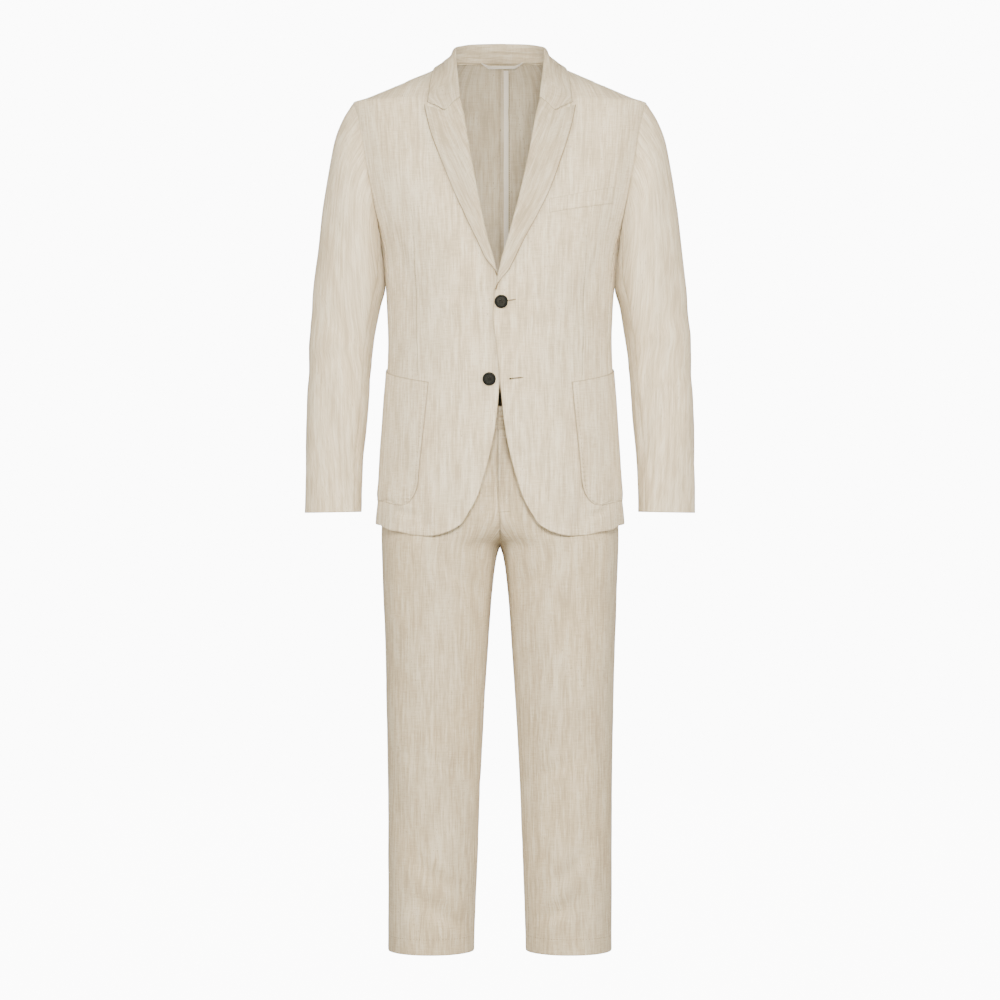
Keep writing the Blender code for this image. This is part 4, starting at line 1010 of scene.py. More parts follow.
@dataclass(frozen=True)
class ThreadFinish:
    """Twisted sewing thread."""

    name: str
    colour: Colour
    sheen: float = 0.15

    def material(self) -> bpy.types.Material:
        """Builds the material.

        Returns:
            The finished material.
        """
        shader = Shader(self.name, self.colour, 0.85)
        place = shader.node("ShaderNodeTexCoord", {}, {}, "Object")
        twist = shader.node(
            "ShaderNodeTexNoise", {}, {"Vector": place, "Scale": 1800.0, "Detail": 1.0}
        )
        dull = tuple(part * 0.7 for part in self.colour)
        shader.set("Base Color", shader.blend(twist, self.colour, dull))
        shader.set("Sheen Weight", self.sheen)
        shader.set("Specular IOR Level", 0.1)
        return shader.material


@dataclass(frozen=True)
class ResinFinish:
    """Dark resin with a faint mottle and a low shine, a little duller where it is worn."""

    name: str = "dark_resin"
    colour: Colour = (0.007, 0.008, 0.008)

    def material(self) -> bpy.types.Material:
        """Builds the material.

        Returns:
            The finished material.
        """
        shader = Shader(self.name, self.colour, 0.3)
        place = shader.node("ShaderNodeTexCoord", {}, {}, "Object")
        mottle = shader.node(
            "ShaderNodeTexNoise", {}, {"Vector": place, "Scale": 260.0, "Detail": 3.0}
        )
        wear = shader.node(
            "ShaderNodeTexNoise", {}, {"Vector": place, "Scale": 900.0, "Detail": 2.0}
        )
        lighter = tuple(part * 2.2 for part in self.colour)
        shader.set("Base Color", shader.blend(mottle, self.colour, lighter))
        shader.set("Roughness", 0.30 + 0.2 * shader.ramp(wear, 0.4, 0.7))
        shader.set("Specular IOR Level", 0.06)
        return shader.material


# Making sheets


def select(made: bpy.types.Object) -> None:
    """Selects one object alone, as the active one."""
    bpy.ops.object.select_all(action="DESELECT")
    made.select_set(True)
    bpy.context.view_layer.objects.active = made


def lengths(grid: Array, axis: int) -> Array:
    """Distance run along rows (axis 0) or across them (axis 1), at each point."""
    step = np.linalg.norm(np.diff(grid, axis=axis), axis=-1)
    shape = list(grid.shape[:2])
    shape[axis] = 1
    return np.concatenate([np.zeros(shape), np.cumsum(step, axis=axis)], axis=axis)


def spread(width: float, step: float) -> Array:
    """Shares from 0 to 1 in even steps, with narrow ones at both ends for a seam's rounding.

    Args:
        width: The distance they cover.
        step: The size of an even step.

    Returns:
        The shares, in order.
    """
    ends = np.array([0.0, *NARROW]) / width
    inner = np.linspace(ends[-1], 1 - ends[-1], max(int(round(width / step)), 2) + 1)
    return np.concatenate([ends[:-1], inner, 1 - ends[-2::-1]])


def refined(keys: Array, step: float, width: Array) -> Array:
    """Step numbers between key rows, fine enough for the distance between them.

    Args:
        keys: The number of key rows.
        step: The size of a fine step.
        width: The distance between each key row and the next.

    Returns:
        Row numbers from 0 to keys - 1, with narrow ones at both ends.
    """
    parts = [np.array([0.0])]
    for i, part in enumerate(width):
        count = max(int(round(part / step)), 1)
        parts.append(i + np.arange(1, count + 1) / count)
    rows = np.concatenate(parts)
    first, last = width[0], width[-1]
    low = np.array(NARROW) / first
    high = int(keys) - 1 - np.array(NARROW[::-1]) / last
    inner = rows[(rows > low[-1] * 1.2) & (rows < high[0] - low[-1] * 0.2)]
    return np.concatenate([[0.0], low[low < 0.9], inner, high[high > keys - 1.9], [keys - 1.0]])


@dataclass
class Cloth:
    """One cloth piece: a fine sheet whose outer face is a grid of points.

    grid has its rows along the piece and its columns across it. edges are the finishes of the first
    row, last row, first column and last column.
    """

    name: str
    grid: Array
    thickness: float
    outward: Array
    edges: tuple[Edge, Edge, Edge, Edge] = (Edge.SEAM,) * 4
    warp: Array | None = None
    shift: tuple[float, float] = (0.0, 0.0)
    reach: tuple[float, float, float, float] = (0.00056,) * 4
    # How strongly painted shade darkens folded edges and seams
    mark: float = 0.55
    seam_mark: float = 0.3
    seam_dip: float = 0.00062
    seam_width: float = 0.0012
    reach_width: float = 0.0009
    ridge: float = 0.0002
    ridge_away: float = 0.005
    ridge_width: float = 0.0025
    fold_dip: float = 0.0004
    fold_width: float = 0.0010

    def borders(self) -> list[Array]:
        """The distance of each point from the first and last row and the first and last column."""
        down, over = lengths(self.grid, 0), lengths(self.grid, 1)
        return [down, down[-1:] - down, over, over[:, -1:] - over]

    def normals(self) -> Array:
        """The outward direction at each point."""
        down = np.gradient(self.grid, axis=0)
        over = np.gradient(self.grid, axis=1)
        normal = unit(np.cross(over, down))
        middle = tuple(size // 2 for size in self.grid.shape[:2])
        return normal if normal[middle] @ self.outward > 0 else -normal

    def finished(self) -> Array:
        """The grid with its edges rounded into their seams or folds."""
        down, over = (unit(np.gradient(self.grid, axis=axis)) for axis in (0, 1))
        press, moved = np.zeros(self.grid.shape[:2]), np.zeros(self.grid.shape)
        for edge, away, out, reach in zip(self.edges, self.borders(), (-down, down, -over, over), self.reach):
            if edge is Edge.SEAM:
                press += self.seam_dip * np.exp(-((away / self.seam_width) ** 2))
                press -= self.ridge * np.exp(-(((away - self.ridge_away) / self.ridge_width) ** 2))
                moved += out * (reach * np.exp(-((away / self.reach_width) ** 2)))[..., None]
            elif edge is Edge.FOLDED:
                press += self.fold_dip * np.exp(-((away / self.fold_width) ** 2))
        return self.grid + moved - self.normals() * press[..., None]

    def rim(self) -> Array:
        """How much painted shade darkens each point near a sewn or folded edge, from 0 to 1."""
        near = np.zeros(self.grid.shape[:2])
        for edge, away in zip(self.edges, self.borders()):
            if edge is not Edge.FREE:
                share = self.mark if edge is Edge.FOLDED else self.seam_mark
                near = np.maximum(near, share * np.exp(-((away / self.fold_width) ** 2)))
        return near

    def pattern(self) -> Array:
        """Flat coordinates in metres: across the warp, then along it."""
        if self.warp is not None:
            return self.warp
        middle = self.grid.shape[1] // 2
        down, over = lengths(self.grid, 0), lengths(self.grid, 1)
        return np.stack([over - over[:, middle : middle + 1], down], axis=-1)

    def build(self, finish: bpy.types.Material, inside: bpy.types.Material) -> bpy.types.Object:
        """Makes the object, with its wall, its flat pattern and its materials.

        Args:
            finish: The material of the cloth's right side.
            inside: The material of its wrong side.

        Returns:
            The finished piece.
        """
        rows, columns = self.grid.shape[:2]
        bpy.ops.object.select_all(action="DESELECT")
        bpy.ops.mesh.primitive_grid_add(x_subdivisions=columns - 1, y_subdivisions=rows - 1, size=1.0)
        made = bpy.context.active_object
        made.name = made.data.name = self.name
        mesh = made.data
        mesh.vertices.foreach_set("co", self.finished().reshape(-1))
        while mesh.uv_layers:
            mesh.uv_layers.remove(mesh.uv_layers[0])
        layer = mesh.uv_layers.new(name="cut")
        corner = np.zeros(len(mesh.loops), dtype=np.int32)
        mesh.loops.foreach_get("vertex_index", corner)
        flat = self.pattern().reshape(-1, 2) + np.array(self.shift)
        layer.data.foreach_set("uv", flat[corner].astype(np.float32).reshape(-1))
        # The painted shade along the edges, read by the linen's colour
        mesh.attributes.new("rim", "FLOAT", "POINT").data.foreach_set("value", self.rim().reshape(-1))
        mesh.update()
        near = mesh.polygons[(rows // 2) * (columns - 1) + columns // 2]
        if near.normal.dot(Vector(self.outward)) < 0:
            select(made)
            bpy.ops.object.mode_set(mode="EDIT")
            bpy.ops.mesh.select_all(action="SELECT")
            bpy.ops.mesh.flip_normals()
            bpy.ops.object.mode_set(mode="OBJECT")
        select(made)
        wall = made.modifiers.new("wall", "SOLIDIFY")
        wall.thickness, wall.offset, wall.use_even_offset = self.thickness, -1.0, False
        wall.material_offset = 1
        mesh.materials.clear()
        mesh.materials.append(finish)
        mesh.materials.append(inside)
        bpy.ops.object.modifier_apply(modifier=wall.name)
        bpy.ops.object.shade_smooth_by_angle(angle=math.radians(50))
        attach(made, "root")
        return made


@dataclass(frozen=True)
class Cut:
    """A piece's flat size before it was sewn: width, length and area, in metres."""

    width: float
    length: float
    area: float
    held: Held


def dress(made: bpy.types.Object, nodes: Sequence[str]) -> None:
    """Hides the CAD nodes that a cloth piece replaces, and logs its faces.

    Args:
        made: The piece.
        nodes: The CAD nodes that it replaces.
    """
    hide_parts(*nodes)
    log.info("%s: %d faces", made.name, len(made.data.polygons))


@dataclass
class Jacket:
    """The body of the jacket: fronts, sides, back, lapels, pockets and welt."""

    form: TorsoForm
    linen: bpy.types.Material
    # folded is a darker copy of the linen: painted shade for the lapels, collar and stand
    folded: bpy.types.Material
    inside: bpy.types.Material
    front_corner_z: float = -0.7105
    front_side_hem_z: float = -0.7150
    back_side_hem_z: float = -0.7100
    back_hem_z: float = -0.706
    neck_back_z: float = 0.008
    neck_point_z: float = 0.0004
    gorge_z: float = -0.064
    front_seam_turn: float = 130.0
    back_seam_turn: float = 215.0
    overlap_lift: float = 0.0037
    overlap_inner_x: float = 0.012
    overlap_outer_x: float = 0.050
    under_shift: float = 0.0065
    lapel_tip: tuple[float, float] = (-0.0735, 0.1155)
    notch_z: float = -0.0850
    lapel_full_width: float = 0.024
    right_lapel_narrowing: float = 0.0045
    edge_lift: float = 0.0024
    pocket_top_front_z: float = -0.4970
    pocket_top_back_z: float = -0.4690
    pocket_bottom_z: float = -0.6840
    pocket_front_top_x: float = 0.1080
    pocket_front_bottom_x: float = 0.1270
    pocket_back_y: float = 0.030
    pocket_round: float = 0.036
    pocket_side_rise: float = 0.0060
    pocket_clear: float = 0.0008
    pocket_stitch_away: float = 0.0045
    pocket_groove: float = 0.0005
    pucker_away: float = 0.0062
    pucker_width: float = 0.0034
    pucker_pitch: float = 0.0066
    pucker_depth: float = 0.0010
    pocket_hem: float = 0.024
    pocket_hem_dip: float = 0.0003
    lapel_end_z: float = -0.3585
    right_lapel_end_z: float = -0.3380
    welt_inner: tuple[float, float, float] = (0.0742, -0.2428, -0.2213)
    welt_outer: tuple[float, float, float] = (0.1730, -0.2244, -0.1992)
    welt_size: Place = (0.022, 0.10)
    step: float = 0.0045

    def __post_init__(self) -> None:
        """Makes the tracks of the edges."""
        (self.edge,) = tracks(FRONT_EDGE)
        (self.hem_drop,) = tracks(HEM_DROP)
        (self.lapel_edge,) = tracks(LAPEL_EDGE)
        self.neck_z, self.neck_x = tracks([row[:3] for row in COLLAR])

    def lift(self, x: Number, z: Number, side: Side) -> Array:
        """How far the left front stands off the form where it lies over the right one."""
        near = ease((self.overlap_outer_x - x) / (self.overlap_outer_x - self.overlap_inner_x))
        on = 1.0 if side is Side.LEFT else 0.0
        return on * self.overlap_lift * near * ease((-0.22 - z) / 0.07)

    def front_x(self, z: Number, side: Side) -> Array:
        """The free edge of a front, from the centre plane."""
        shift = self.under_shift * np.exp(-(((z + 0.30) / 0.11) ** 2))
        return self.edge(z) + (shift if side is Side.RIGHT else 0.0)

    def lapel_x(self, z: Number, side: Side) -> Array:
        """The outer edge of a lapel, from the centre plane."""
        narrow = self.right_lapel_narrowing * np.exp(-(((z + 0.205) / 0.06) ** 2))
        return self.lapel_edge(z) - (narrow if side is Side.RIGHT else 0.0)

    def on_front(self, x: Number, z: Number, side: Side, lift: Number) -> Array:
        """Points on one front, moved out from it, with the side's own sign."""
        turn = self.form.turn_at(z, x)
        return mirrored(self.form.point(z, turn, lift + self.lift(x, z, side), side), side)

    def panel(
        self, rows: Sequence[tuple[float, ...]], side: Side, wide: float, front: bool
    ) -> tuple[Array, Array]:
        """A fine grid from a panel's key rows.

        Args:
            rows: For each, z and turn at its two ends, and the share of the hem's drop.
            side: The wearer's side.
            wide: The panel's rough width.
            front: True for a front, which has the overlap and the hem's drop.

        Returns:
            The grid of points, with the side's own sign, and their flat coordinates.
        """
        table = np.array([[float(part) for part in row] for row in rows])
        ends = self.form.point(table[:, 0], table[:, 1]), self.form.point(table[:, 2], table[:, 3])
        width = np.mean([np.linalg.norm(np.diff(end, axis=0), axis=1) for end in ends], axis=0)
        at = refined(len(rows), self.step, width)
        z0, turn0, z1, turn1, drop = (Track(range(len(rows)), column)(at)[:, None] for column in table.T)
        share = spread(wide, self.step)[None, :]
        z = mix(z0, z1, share) - (self.hem_drop(share) * drop if front else 0.0)
        turn = mix(turn0, turn1, share)
        lift = 0.0
        if front:
            lift = self.lift(self.form.point(z, turn, 0.0, side)[..., 0], z, side)
        return mirrored(self.form.point(z, turn, lift, side), side), self.form.flat(z, turn, not front)

    def front(self, side: Side) -> Cloth:
        """One front, from its free edge and roll line to the side seam, armhole and shoulder."""
        form = self.form
        start_z, seam_y = form.armhole(self.front_seam_turn)
        rows = []
        for share in np.linspace(0, 1, 13):
            z, side_z = mix(self.front_corner_z, start_z, share), mix(self.front_side_hem_z, start_z, share)
            turn = form.turn_at(z, self.front_x(z, side))
            rows.append((z, turn, side_z, form.turn_at_depth(side_z, seam_y - SEAM / 2), (1 - share) ** 3))
        for share in np.linspace(0, 1, 13)[1:]:
            z = mix(start_z, self.gorge_z, share)
            arm = form.armhole_turn(mix(self.front_seam_turn, 42.0, share))
            rows.append((z, form.turn_at(z, self.front_x(z, side)), *arm, 0.0))
        for w, degrees in ((4.5, 34.0), (3.6, 24.0), (2.8, 14.0), (2.3, 6.5), (2.08, 2.5)):
            z = self.neck_z(w)
            rows.append((z, form.turn_at(z, self.neck_x(w)), *form.armhole_turn(degrees), 0.0))
        top = float(form.armhole(0.0)[0])
        ends = [form.turn_at_depth(z, -SHOULDER_SEAM / 2) for z in (self.neck_point_z, top)]
        rows.append((self.neck_point_z, ends[0], top, ends[1], 0.0))
        grid, warp = self.panel(rows, side, 0.20, True)
        edges = (Edge.FOLDED, Edge.SEAM, Edge.FOLDED, Edge.SEAM)
        return Cloth(
            f"linen_front_{side.word}", grid, CLOTH, FORWARD, edges, warp,
            (0.0 if side is Side.LEFT else 1.37, 0.0), (0.0, 0.0018, 0.0, 0.0009),
        )

    def side_panel(self, side: Side) -> Cloth:
        """The panel under the arm, between the front and the back."""
        form = self.form
        turns = (self.front_seam_turn, self.back_seam_turn)
        front_y, back_y = (float(form.armhole(turn)[1]) for turn in turns)
        share = spread(0.45, self.step)[:, None]
        across = spread(0.10, self.step)[None, :]
        hem = mix(self.front_side_hem_z, self.back_side_hem_z, across)
        top_z, top_y = form.armhole(mix(self.front_seam_turn, self.back_seam_turn, across))
        y = mix(mix(front_y + SEAM / 2, back_y - SEAM / 2, across), top_y, ease(share))
        y = np.clip(y, front_y + SEAM / 2, back_y - SEAM / 2)
        z = mix(hem, top_z, share)
        grid = mirrored(form.point(z, form.turn_at_depth(z, y), 0.0, side), side)
        edges = (Edge.FOLDED, Edge.SEAM, Edge.SEAM, Edge.SEAM)
        warp = np.stack([grid[..., 1], grid[..., 2]], axis=-1)
        outward = np.array([float(side.value), 0.0, 0.0])
        shift = (2.11 + side.value * 0.4, 0.3)
        return Cloth(f"linen_side_{side.word}", grid, CLOTH, outward, edges, warp, shift)

    def back(self, side: Side) -> Cloth:
        """Half of the back, from the centre seam and neckline to the side seam and armhole."""
        form = self.form
        start_z, start_y = (float(value) for value in form.armhole(self.back_seam_turn))
        rows = []
        for share in np.linspace(0, 1, 12):
            z, side_z = mix(self.back_hem_z, start_z, share), mix(self.back_side_hem_z, start_z, share)
            side_turn = form.turn_at_depth(side_z, start_y + SEAM / 2)
            rows.append((z, form.turn_at(z, SEAM / 2, True), side_z, side_turn, 0))
        for share in np.linspace(0, 1, 13)[1:]:
            z = mix(start_z, self.neck_back_z, share)
            arm = form.armhole_turn(mix(self.back_seam_turn, 325.0, share))
            rows.append((z, form.turn_at(z, SEAM / 2, True), *arm, 0))
        for w, degrees in ((0.6, 333.0), (1.1, 341.0), (1.5, 349.0), (1.85, 356.0)):
            z, x = self.neck_z(w), self.neck_x(w)
            rows.append((z, form.turn_at(z, x, True), *form.armhole_turn(degrees), 0))
        top = float(form.armhole(0.0)[0])
        ends = [form.turn_at_depth(z, SHOULDER_SEAM / 2) for z in (self.neck_point_z, top)]
        rows.append((self.neck_point_z, ends[0], top, ends[1], 0))
        grid, warp = self.panel(rows, side, 0.22, False)
        edges = (Edge.FOLDED, Edge.SEAM, Edge.SEAM, Edge.SEAM)
        return Cloth(
            f"linen_back_{side.word}", grid, CLOTH, BACKWARD, edges, warp,
            (3.3 + side.value * 0.5, 0.6), (0.0, 0.0018, 0.00056, 0.0009),
        )

    def lapel(self, side: Side) -> Cloth:
        """The turned-back lapel: a rolled edge at the front's roll line, then a wall on the front."""
        tip_z, _ = self.lapel_tip
        notch_share = LAPEL_ROLL[4][1]
        end_z = self.lapel_end_z if side is Side.LEFT else self.right_lapel_end_z
        share = spread(0.29, 0.0035)[:, None]
        number = np.linspace(0, 7, 34)[None, :]
        roll, aside, height = (track(number) for track in tracks(LAPEL_ROLL))
        z_in = mix(self.gorge_z - SEAM - CLEAR, end_z, share)
        z_out = mix(tip_z - CLEAR, end_z, share)
        x_in, x_out = self.front_x(z_in, side) - 0.0005, self.lapel_x(z_out, side)
        full = np.minimum((x_out - x_in) / self.lapel_full_width, 1.0)
        straight = mix(self.gorge_z, tip_z, notch_share)
        dip = (self.notch_z - straight) * (1 - share) ** 4
        tent = np.minimum(roll / notch_share, (1 - roll) / (1 - notch_share))
        x = mix(x_in, x_out, roll * mix(0.15, 1.0, ease((1 - share) / 0.11))) + aside * full
        z = mix(z_in, z_out, roll) + dip * tent
        raised = mix(np.where(roll > 0, 0.0018, height), height, full)
        raised = raised + self.edge_lift * ease((roll - 0.35) / 0.6) * ease(share / 0.06 + 0.3)
        grid = self.on_front(x, z, side, raised)
        over = lengths(grid, 1)
        top = -unit(np.gradient(grid, axis=0))[:1] * 0.0016
        near = ease((notch_share - roll) / 0.1) * np.exp(-((lengths(grid, 0) / 0.0025) ** 2))
        grid = grid + top * near[..., None]
        edges = (Edge.FREE, Edge.FREE, Edge.FREE, Edge.FOLDED)
        warp = np.stack([over[:, -1:] - over, lengths(grid, 0)], axis=-1)
        return Cloth(
            f"linen_lapel_{side.word}", grid, FACING, FORWARD, edges, warp,
            (4.4 + side.value * 0.3, 0.9), mark=1.0,
        )

    def pocket(self, side: Side) -> Cloth:
        """A patch pocket with round lower corners, puckered along its stitching."""
        tall = self.pocket_top_front_z - self.pocket_bottom_z
        share = np.concatenate([np.linspace(0, 0.24, 42), np.linspace(0.24, 1.0, 76)[1:]])[:, None]
        across = spread(0.155, 0.0021)[None, :]
        low = np.minimum(share * tall / self.pocket_round, 1.0)
        round_off = self.pocket_round * (1 - np.sqrt(1 - (1 - low) ** 2)) * 0.62
        foot = self.pocket_bottom_z + self.pocket_side_rise * ease(across / 0.75)
        z = mix(foot, mix(self.pocket_top_front_z, self.pocket_top_back_z, across), share)
        first = self.form.turn_at(z, mix(self.pocket_front_bottom_x, self.pocket_front_top_x, share))
        last = self.form.turn_at_depth(z, self.pocket_back_y)
        inset = round_off / 0.13 * (first - last)
        turn = mix(first - inset, last + inset * 1.7, across)
        flat = Cloth("", self.form.point(z, turn, 0.0, side), CLOTH, FORWARD)
        bottom, top, front, back = flat.borders()
        away = np.minimum(np.minimum(front, back), bottom)
        run = np.where(bottom < np.minimum(front, back), lengths(flat.grid, 1), lengths(flat.grid, 0))
        turns = (run + 0.5 * away) / self.pucker_pitch
        wave = np.sin(turns * 2 * math.pi + 1.7 * np.sin(run * 61) + 5 * side.value)
        size = 0.6 + 0.4 * np.sin(run * 83 + 1.3) * np.sin(run * 37)
        pucker = np.exp(-(((away - self.pucker_away) / self.pucker_width) ** 2)) * wave * size
        groove = self.pocket_groove * np.exp(-(((away - self.pocket_stitch_away) / STITCHED) ** 2))
        hem = self.pocket_hem_dip * np.exp(-(((top - self.pocket_hem) / STITCHED) ** 2))
        clear = mix(0.0006, self.pocket_clear + CLOTH + 0.0002, ease(share / 0.07))
        sewn = np.maximum(pucker * self.pucker_depth - groove - hem, -self.pucker_depth)
        lift = clear + sewn * ease(share / 0.03 + 0.3)
        grid = mirrored(self.form.point(z, turn, lift, side), side)
        edges, warp = (Edge.FOLDED,) * 4, self.form.flat(z, turn)
        return Cloth(
            f"linen_pocket_{side.word}", grid, CLOTH, FORWARD, edges, warp,
            (5.2 + side.value * 0.3, 0.2), mark=0.8,
        )

    def welt(self) -> Cloth:
        """The sloping welt of the breast pocket, from x, foot and head at each of its ends."""
        inner, outer = self.welt_inner, self.welt_outer
        tall, long = self.welt_size
        share, across = spread(tall, 0.0022)[:, None], spread(long, 0.0035)[None, :]
        x = mix(inner[0], outer[0], across)
        z = mix(mix(inner[1], outer[1], across), mix(inner[2], outer[2], across), share)
        grid = self.on_front(x, z, Side.LEFT, CLEAR + TAPE)
        warp = self.form.flat(z, self.form.turn_at(z, x))
        return Cloth(
            "linen_breast_welt", grid, TAPE, FORWARD, (Edge.FOLDED,) * 4, warp, (0.003, 0.012),
            mark=0.4,
        )

    def build(self) -> None:
        """Makes all the pieces of the jacket's body."""
        for side in Side:
            word = side.word
            for cloth, node, on in (
                (self.front(side), "jacket_front", ()),
                (self.side_panel(side), "jacket_side", ()),
                (self.back(side), "jacket_back", ()),
                (self.lapel(side), "lapel", (f"jacket_front_{word}",)),
                (self.pocket(side), "patch_pocket", (f"jacket_front_{word}", f"jacket_side_{word}")),
            ):
                # The lapel takes the darker copy of the linen, painted shade.
                made = cloth.build(self.folded if node == "lapel" else self.linen, self.inside)
                dress(made, [f"{node}_{word}"])
        welt = self.welt().build(self.linen, self.inside)
        dress(welt, ["breast_welt"])


@dataclass
class Collar:
    """The collar and its stand."""

    jacket: Jacket
    fall_lift: float = 0.0040
    notch: tuple[float, float] = (-0.0850, 0.0827)
    shoulder_swell: float = 0.0012
    low_swell: float = 0.0006
    gorge: float = 5.0
    stand_end: float = 50 / 13

    def __post_init__(self) -> None:
        """Makes the tracks."""
        self.tracks = tracks(COLLAR)

    def section(self, w: Array) -> tuple[Array, Array, Array, Array, Array, Array]:
        """The collar's key points on the left side: seam, fold, middle, edge, lip and radius."""
        form = self.jacket.form
        seam_z, seam_x, fold_x, fold_y, fold_z, edge_z, edge_x, lip, radius = (t(w) for t in self.tracks)
        behind = w < 2.0
        seam = form.point(seam_z, form.turn_at(seam_z, seam_x, behind))
        fold = points(fold_x, fold_y, fold_z)
        edge = form.point(edge_z, form.turn_at(edge_z, edge_x, behind), self.fall_lift)
        middle = (fold + edge) / 2
        share = ease((w - 1.5) / 1.5)
        z = mix(middle[..., 2], self.notch[0] + ROUND_SEAM, ease(w - 4.0))
        x = mix(middle[..., 0], self.notch[1], ease(w - 4.0))
        laid = form.point(z, form.turn_at(z, x), self.fall_lift + 0.0006)
        return seam, fold, mix(middle, laid, share[..., None]), edge, lip, radius

    def frames(self, w: Array) -> tuple[Array, Array, Array, Array]:
        """Which way the fold points and which way is outward, then the lip and the radius."""
        step = 0.05
        seam, fold, middle, _, lip, radius = self.section(w)
        ahead = self.section(np.minimum(w + step, self.gorge))[1]
        behind = self.section(np.maximum(w - step, 0.0))[1]
        behind = np.where((w < step)[..., None], ahead * np.array([-1.0, 1.0, 1.0]), behind)
        along = unit(ahead - behind)
        crest = fold - (seam + middle) / 2
        crest = unit(crest - along * np.sum(crest * along, axis=-1, keepdims=True))
        return crest, np.cross(crest, along), lip[..., None], radius[..., None]

    def around(self, places: Sequence[Array], signs: Array, count: int) -> Array:
        """A smooth curve through each section's key points, mirrored by sign.

        Args:
            places: The key points of all the sections, one array for each.
            signs: 1 on the left side and -1 on the right.
            count: Points across the finished piece.

        Returns:
            The grid of points.
        """
        keys = np.stack(places, axis=1)
        share = np.linspace(0, len(places) - 1, count)
        i = np.clip(share.astype(int), 0, len(places) - 2)
        t = (share - i)[None, :, None]
        before, after = np.maximum(i - 1, 0), np.minimum(i + 2, len(places) - 1)
        a, b, c, d = keys[:, before], keys[:, i], keys[:, i + 1], keys[:, after]
        lead, trail = (c - a) / 2 * 0.7, (d - b) / 2 * 0.7
        curve = (
            b * (1 + 2 * t) * (1 - t) ** 2
            + lead * t * (1 - t) ** 2
            + c * t * t * (3 - 2 * t)
            - trail * t * t * (1 - t)
        )
        curve[..., 0] *= signs[:, None]
        return curve

    def build(self) -> None:
        """Makes the collar and the stand."""
        reach = self.gorge * (spread(0.40, 0.003) * 2 - 1)
        w, signs = np.abs(reach), np.where(reach < 0, -1.0, 1.0)
        seam, fold, middle, edge, _, _ = self.section(w)
        crest, outward, lip, radius = self.frames(w)
        centre = fold - crest * radius
        inner, outer = centre - outward * radius, centre + outward * radius
        start = mix(inner, seam, lip)
        shoulder = mix(outer, middle, 0.45) + outward * self.shoulder_swell
        low = mix(middle, edge, 0.5) + outward * self.low_swell
        grid = self.around([start, inner, fold, outer, shoulder, middle, low, edge], signs, 44)
        over = lengths(grid, 1)
        warp = np.stack([over, lengths(grid, 0)[:, 20:21] + 0 * over], axis=-1)
        edges = (Edge.FREE, Edge.FREE, Edge.SEAM, Edge.FOLDED)
        outside = np.array([0.0, 1.0, 0.5])
        fall = Cloth("linen_collar", grid, FACING, outside, edges, warp, (6.1, 0.0), mark=1.0)
        # The collar takes the darker copy of the linen, painted shade.
        made = fall.build(self.jacket.folded, self.jacket.folded)
        dress(made, ["collar"])
        reach = reach * self.stand_end / self.gorge
        w, signs = np.abs(reach), np.where(reach < 0, -1.0, 1.0)
        seam, fold, _, _, _, _ = self.section(w)
        crest, outward, lip, radius = self.frames(w)
        top = mix(fold - crest * radius - outward * radius, seam, lip)
        rise = unit(top - seam)
        foot = seam + rise * (SEAM + CLEAR) - outward * CLEAR
        head = top - rise * SEAM
        grid = self.around([foot, mix(foot, head, 0.5), head], signs, 14)
        over = lengths(grid, 1)
        warp = np.stack([over, lengths(grid, 0)], axis=-1)
        grid[:, -1] += unit(grid[:, -1] - grid[:, -2]) * 0.0008
        edges = (Edge.SEAM, Edge.SEAM, Edge.SEAM, Edge.FREE)
        stand = Cloth("linen_collar_stand", grid, FACING, FORWARD, edges, warp, (6.6, 0.3))
        # The stand takes the darker copy of the linen, painted shade.
        made = stand.build(self.jacket.folded, self.jacket.folded)
        dress(made, ["collar_stand"])


@dataclass
class Sleeves:
    """Both two-piece sleeves."""

    form: SleeveForm
    linen: bpy.types.Material
    inside: bpy.types.Material
    front_turn: float = 140.0
    back_turn: float = 238.0
    radius: float = 0.050
    step: float = 0.0045

    def piece(self, name: str, side: Side, first: float, last: float, wide: float) -> Cloth:
        """One of a sleeve's two pieces, between two seams that run down the arm."""
        gap = math.degrees(ROUND_SEAM / 2 / self.radius)
        turn = mix(first + gap, last - gap, spread(wide, self.step))[None, :]
        t = (spread(0.63, self.step) ** 1.15)[:, None]
        grid = mirrored(self.form.point(t, turn, side), side)
        over = lengths(grid, 1)
        zero = int(np.argmin(np.abs(turn - (0.0 if first < 0 else first))))
        warp = np.stack([over - over[:, zero : zero + 1], lengths(grid, 0)], axis=-1)
        edges = (Edge.SEAM, Edge.FOLDED, Edge.SEAM, Edge.SEAM)
        middle = grid[grid.shape[0] // 2, grid.shape[1] // 2]
        axis = grid[grid.shape[0] // 2].mean(axis=0)
        outward = unit((middle - axis) * np.array([1.0, 1.0, 0.0]))
        shift = (7.0 + side.value * 0.8 + first * 0.01, 0.4)
        return Cloth(name, grid, CLOTH, outward, edges, warp, shift, (0.0016, 0.0, 0.0008, 0.0008))

    def build(self) -> None:
        """Makes the four pieces."""
        for side in Side:
            for part, first, last, wide in (
                ("top", self.back_turn - 360, self.front_turn, 0.24),
                ("under", self.front_turn, self.back_turn, 0.11),
            ):
                cloth = self.piece(f"linen_sleeve_{part}_{side.word}", side, first, last, wide)
                made = cloth.build(self.linen, self.inside)
                node, on = f"sleeve_{part}", (f"jacket_front_{side.word}",)
                dress(made, [f"{node}_{side.word}"])


